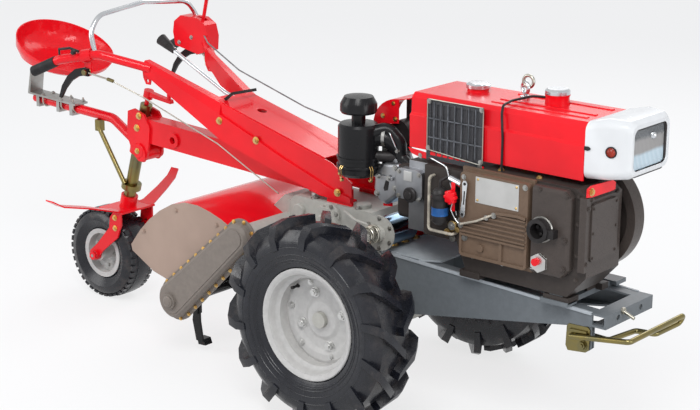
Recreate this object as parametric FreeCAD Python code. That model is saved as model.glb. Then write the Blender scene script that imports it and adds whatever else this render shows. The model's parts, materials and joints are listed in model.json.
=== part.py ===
import FreeCAD, Part
import math
import os

# Walking tractor with a rotary tiller, a ride-on seat and a steered tail wheel.
# Built in millimetres: X forward, Y to the left, Z up, drive axle over X = 0, ground at Z = 0.
# Everything is moved along X at the end so that the origin is below the middle of the machine.

# driving dimensions
RUN_GAP = 0.1            # clearance of a running fit, on the radius
SEAT_GAP = 0.3           # gap where a piece rests beside a piece of another body
MOVE_GAP = 6.0           # room left round what moves

# drive wheels
WHEEL_R = 318.0          # over the lug tips
LUG_DEPTH = 27.0
LUG_COUNT = 14           # on each half of the tread
LUG_WIDTH = 30.0
TYRE_HALF = 84.0         # half of the section width
TYRE_WALL = 11.0
RIM_R = 170.0            # outside of the rim flange
RIM_HALF = 64.0
BEAD_R = 152.0
RIM_T = 5.0
DISC_IN = 70.0           # depth of the wheel disc behind the flange
TRACK_HALF = 403.0
NUT_PCD = 165.0
NUT_COUNT = 4
CLAMP_PCD = 230.0
CLAMP_COUNT = 6
AXLE_R = 24.0
HUB_R = 42.0

# chassis
RAIL_Y = 125.0           # outer face of a rail
RAIL_T = 6.0
RAIL_FLANGE = 42.0
RAIL_REAR_X = -4.0
RAIL_FRONT_X = 755.0
RAIL_TOP_REAR = 466.0
RAIL_TOP_FRONT = 438.0
RAIL_DEEP = 176.0        # web height at the rear
RAIL_SHALLOW = 40.0      # web height at the front
CROSS_T = 44.0           # front cross-member, along X
HITCH_Y = 60.0           # holes for a front weight, each side of the middle
HITCH_R = 8.5
CHASSIS_FACE = 86.0      # joint face between gearbox and chassis
BEARER_X = (330.0, 624.0)
BEARER_W = 44.0
BEARER_T = 13.0

# engine
CRANK_X = 612.0
CRANK_Z = 664.0
COVER_Y = -182.0         # outer face of the gear cover
COVER_T = 34.0
COVER_X0 = 334.0
COVER_X1 = 566.0
COVER_Z0 = 534.0
COVER_Z1 = 784.0
CASE_Y1 = 22.0           # flywheel side of the crankcase
CASE_X1 = 742.0
CASE_Z0 = 474.0
CASE_WALL = 13.0
HEAD_X0 = 60.0
FLYWHEEL_R = 166.0
FLYWHEEL_W = 50.0
FLYWHEEL_Y = 40.0
GUARD_Y = 128.0          # inner edge of the belt guard
GUARD_DEEP = 62.0
GUARD_T = 3.0

# fuel tank and radiator hood
HOOD_HALF = 124.0
HOOD_X0 = 104.0
HOOD_X1 = 704.0
HOOD_TOP = 968.0
HOOD_CREASE = 904.0
HOOD_BOTTOM = 806.0
HOOD_T = 5.0
GRILLE_X0 = 172.0
GRILLE_X1 = 372.0
GRILLE_Z0 = 782.0
GRILLE_Z1 = 962.0
LAMP_X1 = 838.0
LAMP_HALF = 104.0
LAMP_Z0 = 826.0
LAMP_Z1 = 988.0
LAMP_T = 4.0
LAMP_CORNER = 26.0

# gearbox
GEARBOX_HALF = 96.0
GEARBOX_WALL = 10.0
GEARBOX_REAR = -392.0
GEARBOX_TOP = 566.0
DRUM_X = 14.0
DRUM_Z = 528.0
DRUM_R = 46.0
DRUM_T = 5.0

# handlebar
ARM_HALF = 84.0          # arms along the panel
ARM_REAR_HALF = 159.0
ARM_T = 4.0
ARM_STEP = 8.0           # the arm's channel stands out below the panel
ARM_FRONT_X = -150.0
BAR_R = 15.0
GRIP_R = 18.0

# rotary tiller
ROTOR_X = -691.0
ROTOR_Z = 206.0
TINE_R = 190.0
TINE_STEP = 74.0
TINE_COUNT = 7
ROTOR_SHAFT_R = 27.0
TILLER_HALF = 300.0
ROTOR_HALF = TILLER_HALF - 38.0
HOOD_PLATE_T = 4.0
CASE_Y = -TILLER_HALF    # inner face of the chain case
CASE_T = 42.0
CHAIN_R = 72.0           # flange round the rotor's end
CHAIN_TOP_R = 58.0
CHAIN_TOP = (-405.0, 470.0)
CROSS_R = 34.0           # tubes from the gear case to the end plates

# beam, column and tail wheel
BEAM_W = 62.0
BEAM_H = 84.0
BEAM_BOSS = (-980.0, 634.0)
BEAM_BOSS_R = 12.0
COLUMN_TOP = (-1131.0, 770.0)
COLUMN_OVER = 51.0       # from the top of the tail tyre to the column's lower end
COLUMN_R = 21.0
SLEEVE_R = 29.0
CLAMP_Y = 39.0           # outer face of the column's clamp plates
CLAMP_BOSS = (-1134.0, 562.0)
COLUMN_END_K = 1.06      # the column's end inside the collar of the fork
COLLAR_K = 0.86          # place of the strut's collar along the column
STAY_R = 8.0
TAIL_X = -1342.0
TAIL_R = 165.0
COLUMN_LOW = (-1243.0, 2.0 * TAIL_R + COLUMN_OVER)
TAIL_HALF = 64.0
TAIL_RIM_R = 91.0
TAIL_AXLE_R = 10.0
FORK_HALF = 78.0
FORK_T = 7.0
REST_RISE = 58.0         # foot rests rise outwards
REST_TIP_Y = 300.0

# seat
SEAT_X = -1566.0
SEAT_R = 184.0
SEAT_Z = 812.0           # underside in the middle
SEAT_T = 4.0
SEAT_TILT = 14.0         # degrees, the back up
SEAT_FRONT = 36.0        # height of the rim over the pan at the front
SEAT_BACK = 106.0
SEAT_TUBE_R = 17.0
SEAT_TUBE_END = (-1725.0, 672.0)
SEAT_BEND = (-1313.0, 655.0)
SEAT_CLAMPS = (-1687.0, -1578.0, -1508.0)

# front stand
STAND_ROD = 8.0
STAND_PIVOT = (694.0, 360.0)

V = FreeCAD.Vector
NODES = {}


def box(x0, x1, y0, y1, z0, z1):
    return Part.makeBox(x1 - x0, y1 - y0, z1 - z0, V(x0, y0, z0))


def cyl(r, start, end):
    a = V(*start)
    d = V(*end) - a
    return Part.makeCylinder(r, d.Length, a, d)


def ring(r_out, r_in, start, end):
    return cyl(r_out, start, end).cut(cyl(r_in, start, end))


def polygon(points):
    return Part.Face(Part.makePolygon([V(*p) for p in points] + [V(*points[0])]))


def side_plate(points, y0, y1):
    """Closed outline in X and Z, from y0 to y1."""
    return polygon([(x, y0, z) for x, z in points]).extrude(V(0, y1 - y0, 0))


def plan_plate(points, z0, z1):
    return polygon([(x, y, z0) for x, y in points]).extrude(V(0, 0, z1 - z0))


def rounded_end(x, half, z0, z1, r):
    """Wire of a rectangle with round corners, across X."""
    k = r * (1.0 - math.sqrt(0.5))
    spots = []
    for sy, sz in ((-1, -1), (1, -1), (1, 1), (-1, 1)):
        cy = sy * half
        cz = z0 if sz < 0 else z1
        along = V(x, cy - sy * r, cz)
        middle = V(x, cy - sy * k, cz - sz * k)
        up = V(x, cy, cz - sz * r)
        spots.append((up, middle, along) if sy * sz > 0 else (along, middle, up))
    edges = []
    for i, (first, middle, last) in enumerate(spots):
        edges.append(Part.Arc(first, middle, last).toShape())
        edges.append(Part.LineSegment(last, spots[(i + 1) % 4][0]).toShape())
    return Part.Wire(edges)


def turned(profile, x, z):
    """Outline of (y, radius) turned about the axis along Y through x, z."""
    face = polygon([(x, y, z + r) for y, r in profile])
    return face.revolve(V(x, 0, z), V(0, 1, 0), 360)


def turned_up(profile, x, y):
    """Outline of (radius, z) turned about the upright axis through x, y."""
    face = polygon([(x + r, y, z) for r, z in profile])
    return face.revolve(V(x, y, 0), V(0, 0, 1), 360)


def rod(points, r, bend=30.0):
    """Round bar of straight runs joined by tangent bends."""
    pts = [V(*p) for p in points]
    pieces = []
    at = pts[0]
    for a, b, c in zip(pts, pts[1:], pts[2:]):
        u = (a - b).normalize()
        w = (c - b).normalize()
        half = u.getAngle(w) / 2.0
        run = min((a - b).Length, (c - b).Length)
        cut = min(bend / math.tan(half), 0.45 * run)
        radius = cut * math.tan(half)
        start = b + u * cut
        end = b + w * cut
        centre = b + (u + w).normalize() * (radius / math.sin(half))
        axis = (start - centre).cross(end - centre)
        pieces.append(Part.makeCylinder(r, (start - at).Length, at, start - at))
        disc = Part.Face(Part.Wire([Part.makeCircle(r, start, u * -1.0)]))
        pieces.append(disc.revolve(centre, axis, 180.0 - math.degrees(2.0 * half)))
        at = end
    pieces.append(Part.makeCylinder(r, (pts[-1] - at).Length, at, pts[-1] - at))
    return join(pieces)


def hexagon(r, start, end):
    a = V(*start)
    d = V(*end) - a
    side = d.cross(V(1, 0, 0)) if abs(d.x) < 0.9 * d.Length else d.cross(V(0, 0, 1))
    side.normalize()
    other = d.cross(side).normalize()
    pts = []
    for i in range(6):
        t = math.radians(60 * i)
        pts.append(a + side * (r * math.cos(t)) + other * (r * math.sin(t)))
    return Part.Face(Part.makePolygon(pts + [pts[0]])).extrude(d)


def join(shapes):
    shapes = list(shapes)
    out = shapes[0] if len(shapes) == 1 else shapes[0].multiFuse(shapes[1:])
    return out.removeSplitter()


def biggest(shape):
    return max(shape.Solids, key=lambda s: s.Volume)


def mirror_y(shape):
    return shape.mirror(V(0, 0, 0), V(0, 1, 0))


def both(shape):
    return [shape, mirror_y(shape)]


def on_circle(count, r, x, z, start=0.0):
    for i in range(count):
        t = math.radians(start + 360.0 * i / count)
        yield x + r * math.cos(t), z + r * math.sin(t)


def put(name, shape):
    NODES[name] = shape


# drive wheels
CARCASS_R = WHEEL_R - LUG_DEPTH


def tyre_outside(r_top, r_bead, r_flange, half, rim_half):
    """Outside of the carcass section, from one bead over the tread to the other."""
    rise = r_top - r_bead
    outer = [
        (-rim_half + 4.6, r_bead + SEAT_GAP),
        (-rim_half + 4.3, r_flange + 1.0),
        (-rim_half - 2.0, r_flange + 6.0),
        (-half, r_bead + 0.52 * rise),
        (-half + 4.0, r_bead + 0.74 * rise),
        (-half * 0.70, r_top - 8.0),
        (-half * 0.30, r_top),
    ]
    return outer + [(-y, r) for y, r in reversed(outer)]


def tyre_cavity(r_top, r_bead, half, rim_half, wall):
    """Air space of the tyre, open towards the rim."""
    rise = r_top - r_bead
    inner = [
        (rim_half - 5.0 - wall, r_bead - 20.0),
        (rim_half - 5.0 - wall, r_bead + 0.2 * rise),
        (half - wall, r_bead + 0.50 * rise),
        (half - wall, r_bead + 0.70 * rise),
        (half * 0.66, r_top - 8.0 - wall),
        (half * 0.28, r_top - wall),
    ]
    return inner + [(-y, r) for y, r in reversed(inner)]


def lug(angle, side):
    """One bar of the tread: from the side wall over the shoulder to the middle."""
    h = TYRE_HALF
    r = WHEEL_R
    # columns: angle behind the outer end, distance of top and of root from mid-plane,
    # top radius, root radius, width
    stations = [
        (0.0, h + 3.0, h - 24.0, r - 86.0, r - 92.0, 0.72),
        (1.0, h + 4.0, h - 24.0, r - 50.0, r - 82.0, 0.86),
        (3.5, h - 6.0, h - 28.0, r - 14.0, r - 68.0, 1.0),
        (9.0, h * 0.62, h * 0.48, r, r - 56.0, 1.0),
        (19.0, -h * 0.06, -h * 0.06, r, r - 56.0, 0.86),
    ]
    rows = []
    for lag, y_top, y_root, r_top, r_root, w in stations:
        t = math.radians(angle + lag)
        half = 0.5 * LUG_WIDTH * w
        row = []
        for rr, y_here in ((r_top, y_top), (r_root, y_root)):
            for s in (-1, 1):
                a = t + s * half / rr
                row.append(V(rr * math.sin(a), side * y_here, rr * math.cos(a)))
        rows.append([row[0], row[1], row[3], row[2]])
    faces = []

    def tri(a, b, c):
        faces.append(Part.Face(Part.makePolygon([a, b, c, a])))

    for p, q in zip(rows, rows[1:]):
        for i in range(4):
            j = (i + 1) % 4
            tri(p[i], p[j], q[i])
            tri(p[j], q[j], q[i])
    for end in (rows[0], rows[-1]):
        tri(end[0], end[1], end[2])
        tri(end[0], end[2], end[3])
    solid = Part.Solid(Part.Shell(faces))
    if solid.Volume < 0:
        solid.reverse()
    return solid


def drive_tyre():
    outside = tyre_outside(CARCASS_R, BEAD_R, RIM_R, TYRE_HALF, RIM_HALF)
    carcass = turned(outside, 0, 0)
    pitch = 360.0 / LUG_COUNT
    lugs = [lug(pitch * i, -1) for i in range(LUG_COUNT)]
    lugs += [lug(pitch * (i + 0.5), 1) for i in range(LUG_COUNT)]
    cavity = turned(tyre_cavity(CARCASS_R, BEAD_R, TYRE_HALF, RIM_HALF, TYRE_WALL), 0, 0)
    return carcass.multiFuse(lugs).cut(cavity)


def drive_rim():
    """Two-piece rim with a dished disc; the outside of the wheel faces -Y."""
    h = RIM_HALF
    b = BEAD_R
    t = RIM_T
    well = [
        (-h - 3.0, RIM_R), (-h + 3.0, RIM_R), (-h + 4.0, b), (-h + 30.0, b - 3.0),
        (-h + 36.0, b - 14.0), (h - 36.0, b - 14.0), (h - 30.0, b - 3.0), (h - 4.0, b),
        (h - 3.0, RIM_R), (h + 3.0, RIM_R), (h + 2.0, b - t), (h - 28.0, b - 3.0 - t),
        (h - 34.0, b - 14.0 - t), (-h + 34.0, b - 14.0 - t), (-h + 28.0, b - 3.0 - t),
        (-h - 2.0, b - t),
    ]
    y = -h + DISC_IN
    bore = AXLE_R + RUN_GAP
    disc = [
        (y - 2.0, bore), (y - 2.0, 52.0), (y + 6.0, 60.0), (y + 6.0, 96.0), (y - 4.0, 104.0),
        (y - 4.0, b - 15.0 - t), (y - 4.0, b - 13.0 - t), (y + 2.0, b - 13.0 - t),
        (y + 2.0, 104.0), (y + 12.0, 98.0), (y + 12.0, 58.0), (y + 6.0, 50.0), (y + 6.0, bore),
    ]
    rim = turned(well, 0, 0).fuse(turned(disc, 0, 0))
    bolts = []
    for x, z in on_circle(NUT_COUNT, NUT_PCD / 2.0, 0, 0, 20.0):
        bolts.append(hexagon(11.0, (x, y + 6.5, z), (x, y - 10.0, z)))
    for x, z in on_circle(CLAMP_COUNT, CLAMP_PCD / 2.0, 0, 0, 50.0):
        bolts.append(hexagon(9.0, (x, y + 1.0, z), (x, y - 12.0, z)))
    return join([rim] + bolts)


def drive_hub():
    """Half shaft with its hub and flange; the inner end runs in the gearbox."""
    y = -RIM_HALF + DISC_IN
    inner = TRACK_HALF - GEARBOX_HALF - 40.0
    shaft = cyl(AXLE_R, (0, y - 16.0, 0), (0, inner, 0))
    flange = cyl(NUT_PCD / 2.0 + 18.0, (0, y + 12.0, 0), (0, y + 20.0, 0))
    sleeve = cyl(HUB_R, (0, y + 12.0, 0), (0, y + 120.0, 0))
    return join([shaft, flange, sleeve])


TYRE = drive_tyre()
RIM = drive_rim()
HUB = drive_hub()
for tag, shape in (("tyre", TYRE), ("rim", RIM), ("hub", HUB)):
    near = shape.copy()
    near.translate(V(0, -TRACK_HALF, WHEEL_R))
    put("right_drive_" + tag, near)
    put("left_drive_" + tag, mirror_y(near))


# gearbox
AXLE_Z = WHEEL_R


def gearbox():
    rear = GEARBOX_REAR
    face = CHASSIS_FACE
    out = [(-120, 236), (60, 236), (face - 10.0, 290), (face - 10.0, 438), (-40, 450), (-40, 544),
           (-62, GEARBOX_TOP), (rear + 20.0, GEARBOX_TOP), (rear, 546), (rear, 420), (-190, 380), (-150, 300)]
    case = side_plate(out, -GEARBOX_HALF, GEARBOX_HALF)
    w = GEARBOX_WALL
    hollow = [(-104, 236 + w), (54, 236 + w), (face - 20.0, 296), (face - 20.0, 428), (-52, 440), (-52, 540),
              (-68, GEARBOX_TOP - w), (rear + 25.0, GEARBOX_TOP - w), (rear + 11.0, 540), (rear + 11.0, 430),
              (-182, 392), (-138, 302)]
    case = case.cut(side_plate(hollow, -GEARBOX_HALF + w, GEARBOX_HALF - w))
    parts = [case, box(face - 10.0, face, -GEARBOX_HALF - 20.0, GEARBOX_HALF + 20.0, 296, 436)]
    tube_end = GEARBOX_HALF + 62.0
    tube = turned([(GEARBOX_HALF - 4.0, 78.0), (GEARBOX_HALF + 10.0, 78.0),
                   (GEARBOX_HALF + 22.0, 56.0), (tube_end, 50.0), (tube_end, AXLE_R + RUN_GAP),
                   (GEARBOX_HALF - 4.0, AXLE_R + RUN_GAP)], 0, AXLE_Z)
    parts += both(tube)
    cap = turned([(-GEARBOX_HALF + 2.0, 58.0), (-GEARBOX_HALF - 16.0, 54.0), (-GEARBOX_HALF - 16.0, 30.0),
                  (-GEARBOX_HALF - 26.0, 26.0), (-GEARBOX_HALF - 26.0, 0.0), (-GEARBOX_HALF + 2.0, 0.0)],
                 -240, 500)
    parts += both(cap)
    body = join(parts)
    clear = AXLE_R + RUN_GAP
    bore = cyl(clear, (0, -tube_end - 1, AXLE_Z), (0, -GEARBOX_HALF + w - 1.0, AXLE_Z))
    for b in both(bore):
        body = body.cut(b)
    return body


put("gearbox", gearbox())


# chassis
def rail_z(x):
    k = (x - RAIL_REAR_X) / (RAIL_FRONT_X - RAIL_REAR_X)
    return RAIL_TOP_REAR + (RAIL_TOP_FRONT - RAIL_TOP_REAR) * k


def chassis():
    x0, x1 = RAIL_REAR_X, RAIL_FRONT_X
    foot_x = 98.0
    web = [(x0, rail_z(x0)), (x1, rail_z(x1)), (x1, rail_z(x1) - RAIL_SHALLOW),
           (foot_x, rail_z(foot_x) - RAIL_DEEP), (foot_x - 18.0, rail_z(foot_x) - RAIL_DEEP),
           (x0 + 66.0, rail_z(x0) - 100.0)]
    y = RAIL_Y
    t = RAIL_T
    parts = []
    rail = side_plate(web, -y, -y + t)
    top = side_plate([(x0, rail_z(x0)), (x1, rail_z(x1)), (x1, rail_z(x1) - t), (x0, rail_z(x0) - t)],
                     -y, -y + RAIL_FLANGE)
    low = side_plate([(foot_x, rail_z(foot_x) - RAIL_DEEP), (x1, rail_z(x1) - RAIL_SHALLOW),
                      (x1, rail_z(x1) - RAIL_SHALLOW + t), (foot_x, rail_z(foot_x) - RAIL_DEEP + t)],
                     -y, -y + RAIL_FLANGE)
    gusset = plan_plate([(x0, -y), (x0 + 150.0, -y), (x0 + 150.0, -y + 46.0), (x0, -y + 62.0)],
                        rail_z(x0) - 8.0, rail_z(x0) + 1.0)
    side = join([rail, top, low, gusset])
    parts += both(side)
    zt = rail_z(x1)
    front = box(x1 - 4.0, x1 + CROSS_T, -y, y, zt - RAIL_SHALLOW, zt - RAIL_SHALLOW + t)
    front = front.fuse(box(x1 - 4.0, x1 + CROSS_T, -y, y, zt - t, zt))
    front = front.fuse(box(x1 + CROSS_T - t, x1 + CROSS_T, -y, y, zt - RAIL_SHALLOW, zt))
    for s in (-HITCH_Y, HITCH_Y):
        z = zt - RAIL_SHALLOW / 2.0
        front = front.cut(cyl(HITCH_R, (x1, s, z), (x1 + CROSS_T + 1.0, s, z)))
    parts.append(front)
    for x in BEARER_X:
        z = rail_z(x + BEARER_W / 2.0)
        parts.append(box(x, x + BEARER_W, -y, y, z - 2.0, z + BEARER_T))
    parts.append(box(CHASSIS_FACE, CHASSIS_FACE + 10.0, -y, y, rail_z(foot_x) - RAIL_DEEP, rail_z(foot_x) - 2.0))
    return join(parts)


put("chassis_frame", chassis())


# engine
def engine_block():
    """Crankcase and cylinder casting; the wall is as thick as a casting's and the foot is open."""
    y0 = COVER_Y + COVER_T
    top = COVER_Z1 + 6.0
    low_top = GRILLE_Z0 - 12.0
    out = [(HEAD_X0 + 120.0, 560), (300, 560), (320, CASE_Z0 + 40.0), (340, CASE_Z0), (CASE_X1 - 60.0, CASE_Z0),
           (CASE_X1, 540), (CASE_X1, 760), (CASE_X1 - 40.0, top), (GRILLE_X1 + 10.0, top),
           (GRILLE_X1 + 4.0, low_top), (HEAD_X0 + 120.0, low_top)]
    body = side_plate(out, y0, CASE_Y1)
    w = CASE_WALL
    inner = [(HEAD_X0 + 120.0 + w, 560 + w), (316, 560 + w), (334, CASE_Z0 + 40.0), (352, CASE_Z0 - 1.0),
             (CASE_X1 - 70.0, CASE_Z0 - 1.0), (CASE_X1 - w, 546), (CASE_X1 - w, 752),
             (CASE_X1 - 46.0, top - w), (GRILLE_X1 + 20.0, top - w), (GRILLE_X1 + 14.0, low_top - w),
             (HEAD_X0 + 120.0 + w, low_top - w)]
    body = body.cut(side_plate(inner, y0 + w, CASE_Y1 - w))
    feet = []
    for x in BEARER_X:
        for s0, s1 in ((y0 + 2.0, y0 + 40.0), (CASE_Y1 - 40.0, CASE_Y1 + 10.0)):
            z = rail_z(x + BEARER_W / 2.0) + BEARER_T
            feet.append(box(x, x + BEARER_W, s0, s1, z, CASE_Z0 + 40.0))
    boss = cyl(46.0, (CRANK_X, CASE_Y1 - 2.0, CRANK_Z), (CRANK_X, FLYWHEEL_Y - 4.0, CRANK_Z))
    lid = box(CASE_X1 - 2.0, CASE_X1 + 9.0, y0 + 5.0, CASE_Y1 - 30.0, 586, 750)
    lid = lid.makeFillet(14.0, [e for e in lid.Edges if abs(e.tangentAt(e.FirstParameter).x) > 0.99])
    ridge = box(CASE_X1 - 18.0, CASE_X1 + 4.0, y0 - 18.0, y0 + 4.0, 560, 772)
    body = join([body, boss, lid, ridge] + feet)
    body = body.cut(cyl(18.0 + RUN_GAP, (CRANK_X, CASE_Y1 - w - 1.0, CRANK_Z), (CRANK_X, FLYWHEEL_Y, CRANK_Z)))
    return body


put("engine_block", engine_block())


def gear_cover():
    """Cast timing cover: a sloping rib over level ones, and two recessed fields below them."""
    y1 = COVER_Y + COVER_T
    x0, x1, z0, z1 = COVER_X0, COVER_X1, COVER_Z0, COVER_Z1
    plate = box(x0, x1, COVER_Y, y1, z0, z1)
    lip = box(x0 - 9.0, x1 + 6.0, y1 - 10.0, y1, z0 - 9.0, z1 + 8.0)
    upright = [e for e in plate.Edges if abs(e.tangentAt(e.FirstParameter).y) > 0.99]
    body = plate.makeFillet(13.0, upright).fuse(lip)
    for a, b in ((x0 + 8.0, x0 + 138.0), (x0 + 148.0, x1 - 9.0)):
        body = body.cut(box(a, b, COVER_Y - 1.0, COVER_Y + 6.0, z0 + 9.0, z0 + 61.0))
    crown = [(x0 + 4.0, z0 + 98.0), (x0 + 92.0, z0 + 135.0), (x0 + 130.0, z0 + 153.0), (x0 + 202.0, z0 + 158.0),
             (x1 - 3.0, z0 + 154.0)]
    under = [(x, z - 8.0) for x, z in reversed(crown)]
    ribs = [side_plate(crown + under, COVER_Y - 7.0, COVER_Y + 1.0),
            box(x0 + 4.0, x1 - 4.0, COVER_Y - 4.0, COVER_Y + 1.0, z0 + 63.0, z0 + 69.0)]
    for i in range(6):
        z = z0 + 74.0 + 13.0 * i
        left = max(x0 + 6.0, x0 + 16.0 + (z - z0 - 98.0) * 88.0 / 37.0)
        ribs.append(box(left, x1 - 4.0, COVER_Y - 5.0, COVER_Y + 1.0, z, z + 5.0))
    ribs.append(cyl(11.0, (x0 + 73.0, COVER_Y + 10.0, z0 + 34.0), (x0 + 73.0, COVER_Y - 1.0, z0 + 34.0)))
    return join([body] + ribs)


put("gear_cover", gear_cover())


def start_housing():
    """Rounded case beside the cover, with the crank's collar, its clamp ear and the oil filler."""
    y0 = COVER_Y + 6.0
    y1 = COVER_Y + COVER_T
    x0 = COVER_X1 + 10.0
    case = side_plate([(x0, 531), (672, 531), (700, 559), (700, 764), (680, 784), (x0, 784)], y0, y1)
    soft = [e for e in case.Edges if e.BoundBox.YMax < y0 + 0.1 and e.BoundBox.XMax > x0 + 1.0]
    case = case.makeFillet(14.0, soft)
    collar = ring(34.0, 22.0, (CRANK_X, COVER_Y + 14.0, CRANK_Z), (CRANK_X, COVER_Y - 22.0, CRANK_Z))
    ear = box(CRANK_X + 30.0, CRANK_X + 52.0, COVER_Y - 18.0, COVER_Y + 14.0, CRANK_Z - 16.0, CRANK_Z + 8.0)
    seat_plate = hexagon(28.0, (CRANK_X - 5.0, y0 + 2.0, 566), (CRANK_X - 5.0, y0 - 8.0, 566))
    cap = cyl(11.0, (CRANK_X - 10.0, y0 - 7.0, 570), (CRANK_X - 10.0, y0 - 19.0, 570))
    return join([case, collar, ear, seat_plate, cap]).cut(cyl(22.0, (CRANK_X, COVER_Y + 12.0, CRANK_Z),
                                                              (CRANK_X, COVER_Y - 30.0, CRANK_Z)))


put("start_housing", start_housing())


def cylinder_head():
    y0 = COVER_Y + COVER_T + 14.0
    head = box(HEAD_X0 + 52.0, HEAD_X0 + 120.0, y0, CASE_Y1 - 6.0, 560, 770)
    cover = box(HEAD_X0, HEAD_X0 + 52.0, y0 + 14.0, CASE_Y1 - 24.0, 580, 745)
    edges = [e for e in cover.Edges if abs(e.tangentAt(e.FirstParameter).x) > 0.99]
    cover = cover.makeFillet(24.0, edges)
    rocker = box(HEAD_X0 + 22.0, HEAD_X0 + 118.0, y0 - 24.0, y0 + 2.0, 655, 748)
    along = [e for e in rocker.Edges if abs(e.tangentAt(e.FirstParameter).y) > 0.99]
    rocker = rocker.makeFillet(20.0, along)
    hollow = box(HEAD_X0 + 10.0, HEAD_X0 + 106.0, y0 + 26.0, CASE_Y1 - 36.0, 592, 732)
    return join([head, cover, rocker]).cut(hollow)


put("cylinder_head", cylinder_head())


def flywheel():
    y = FLYWHEEL_Y
    w = FLYWHEEL_W
    r = FLYWHEEL_R
    wheel = turned([(y, 18.0), (y, 60.0), (y + 14.0, 66.0), (y + 14.0, r - 34.0), (y, r - 28.0), (y, r),
                    (y + w, r), (y + w, r - 28.0), (y + 28.0, r - 34.0), (y + 28.0, 66.0),
                    (y + w, 60.0), (y + w, 18.0)], CRANK_X, CRANK_Z)
    p = GUARD_Y + 8.0
    shaft = cyl(18.0, (CRANK_X, CASE_Y1 - CASE_WALL, CRANK_Z), (CRANK_X, p + 46.0, CRANK_Z))
    pulley = turned([(p, 17.0), (p, 64.0), (p + 4.0, 64.0), (p + 9.0, 54.0), (p + 14.0, 64.0), (p + 20.0, 64.0),
                     (p + 25.0, 54.0), (p + 30.0, 64.0), (p + 34.0, 64.0), (p + 34.0, 17.0)], CRANK_X, CRANK_Z)
    return join([wheel, shaft, pulley])


put("flywheel", flywheel())


# hood, radiator grille and headlamp housing
def hood_section(x, half, grow=0.0):
    """Cross-section of the hood: flat crown, soft shoulders and a crease along the side."""
    top = HOOD_TOP - grow
    h = half - grow
    return Part.Wire(Part.makePolygon([V(x, -h, HOOD_BOTTOM - 1.0 if grow else HOOD_BOTTOM),
                                       V(x, -h - 2.0, HOOD_CREASE), V(x, -h + 6.0, HOOD_CREASE + 6.0),
                                       V(x, -h + 8.0, top - 12.0), V(x, -h + 22.0, top),
                                       V(x, h - 22.0, top), V(x, h - 8.0, top - 12.0),
                                       V(x, h - 6.0, HOOD_CREASE + 6.0), V(x, h + 2.0, HOOD_CREASE),
                                       V(x, h, HOOD_BOTTOM - 1.0 if grow else HOOD_BOTTOM),
                                       V(x, -h, HOOD_BOTTOM - 1.0 if grow else HOOD_BOTTOM)]))


def hood():
    t = HOOD_T
    outer = Part.makeLoft([hood_section(HOOD_X0, HOOD_HALF), hood_section(HOOD_X1, HOOD_HALF)], True, True)
    inner = Part.makeLoft([hood_section(HOOD_X0 + t, HOOD_HALF, t), hood_section(HOOD_X1 + 1.0, HOOD_HALF, t)],
                          True, True)
    body = outer.cut(inner)
    window = box(GRILLE_X0 + 8.0, GRILLE_X1 - 8.0, -HOOD_HALF - 20.0, -HOOD_HALF + 20.0, HOOD_BOTTOM - 2.0,
                 GRILLE_Z1 - 12.0)
    body = body.cut(window)
    ridges = []
    for y in (-70.0, -26.0, 62.0):
        ridges.append(box(HOOD_X0 + 250.0, HOOD_X1 - 30.0, y, y + 14.0, HOOD_TOP - 1.0, HOOD_TOP + 3.0))
    neck = ring(34.0, 26.0, (512, 30, HOOD_TOP - 2.0), (512, 30, HOOD_TOP + 30.0))
    filler = ring(32.0, 26.0, (236, 30, HOOD_TOP - 2.0), (236, 30, HOOD_TOP + 10.0))
    return join([body, neck, filler] + ridges)


put("hood", hood())


def radiator_grille():
    y0 = -HOOD_HALF - 8.0
    x0, x1, z0, z1 = GRILLE_X0, GRILLE_X1, GRILLE_Z0, GRILLE_Z1
    frame = box(x0, x1, y0, y0 + 3.0, z0, z1).cut(box(x0 + 14, x1 - 14, y0 - 1, y0 + 4, z0 + 14, z1 - 14))
    bars = [box(x0 + 12, x1 - 12, y0 + 3.0, y0 + 5.0, z0 + 12, z1 - 12)]
    for i in range(7):
        x = x0 + 14.0 + (x1 - x0 - 28.0) * (i + 1) / 8.0
        bars.append(box(x - 2.0, x + 2.0, y0, y0 + 3.5, z0 + 10.0, z1 - 10.0))
    for k in (0.36, 0.68):
        z = z0 + (z1 - z0) * k
        bars.append(box(x0 + 10.0, x1 - 10.0, y0, y0 + 3.5, z - 2.5, z + 2.5))
    return join([frame] + bars)


put("radiator_grille", radiator_grille())


def lamp_housing():
    """Shell with soft corners that narrows forward to the rim of the lamp's opening."""
    x0 = HOOD_X1 + 0.4
    r = LAMP_CORNER
    # columns: place, half width, low edge, high edge
    sizes = [(x0, HOOD_HALF, HOOD_BOTTOM + 4.0, HOOD_TOP + 4.0), (x0 + 66.0, HOOD_HALF - 3.0, LAMP_Z0 - 10.0, LAMP_Z1),
             (LAMP_X1 - 14.0, LAMP_HALF + 3.0, LAMP_Z0 - 2.0, LAMP_Z1 - 3.0),
             (LAMP_X1, LAMP_HALF - 7.0, LAMP_Z0 + 8.0, LAMP_Z1 - 14.0)]
    outer = Part.makeLoft([rounded_end(x, h, a, b, r) for x, h, a, b in sizes], True, True)
    sizes[0] = (x0 - 1.0,) + sizes[0][1:]
    sizes[2] = (LAMP_X1 - 17.0,) + sizes[2][1:]
    sizes[3] = (LAMP_X1 - LAMP_T,) + sizes[3][1:]
    t = LAMP_T
    inner = Part.makeLoft([rounded_end(x, h - t, a + t, b - t, r - t) for x, h, a, b in sizes], True, True)
    opening = Part.Face(rounded_end(LAMP_X1 - 12.0, LAMP_HALF - 17.0, LAMP_Z0 + 19.0, LAMP_Z1 - 27.0, 20.0))
    return outer.cut(inner).cut(opening.extrude(V(20.0, 0, 0)))


put("lamp_housing", lamp_housing())


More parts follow.
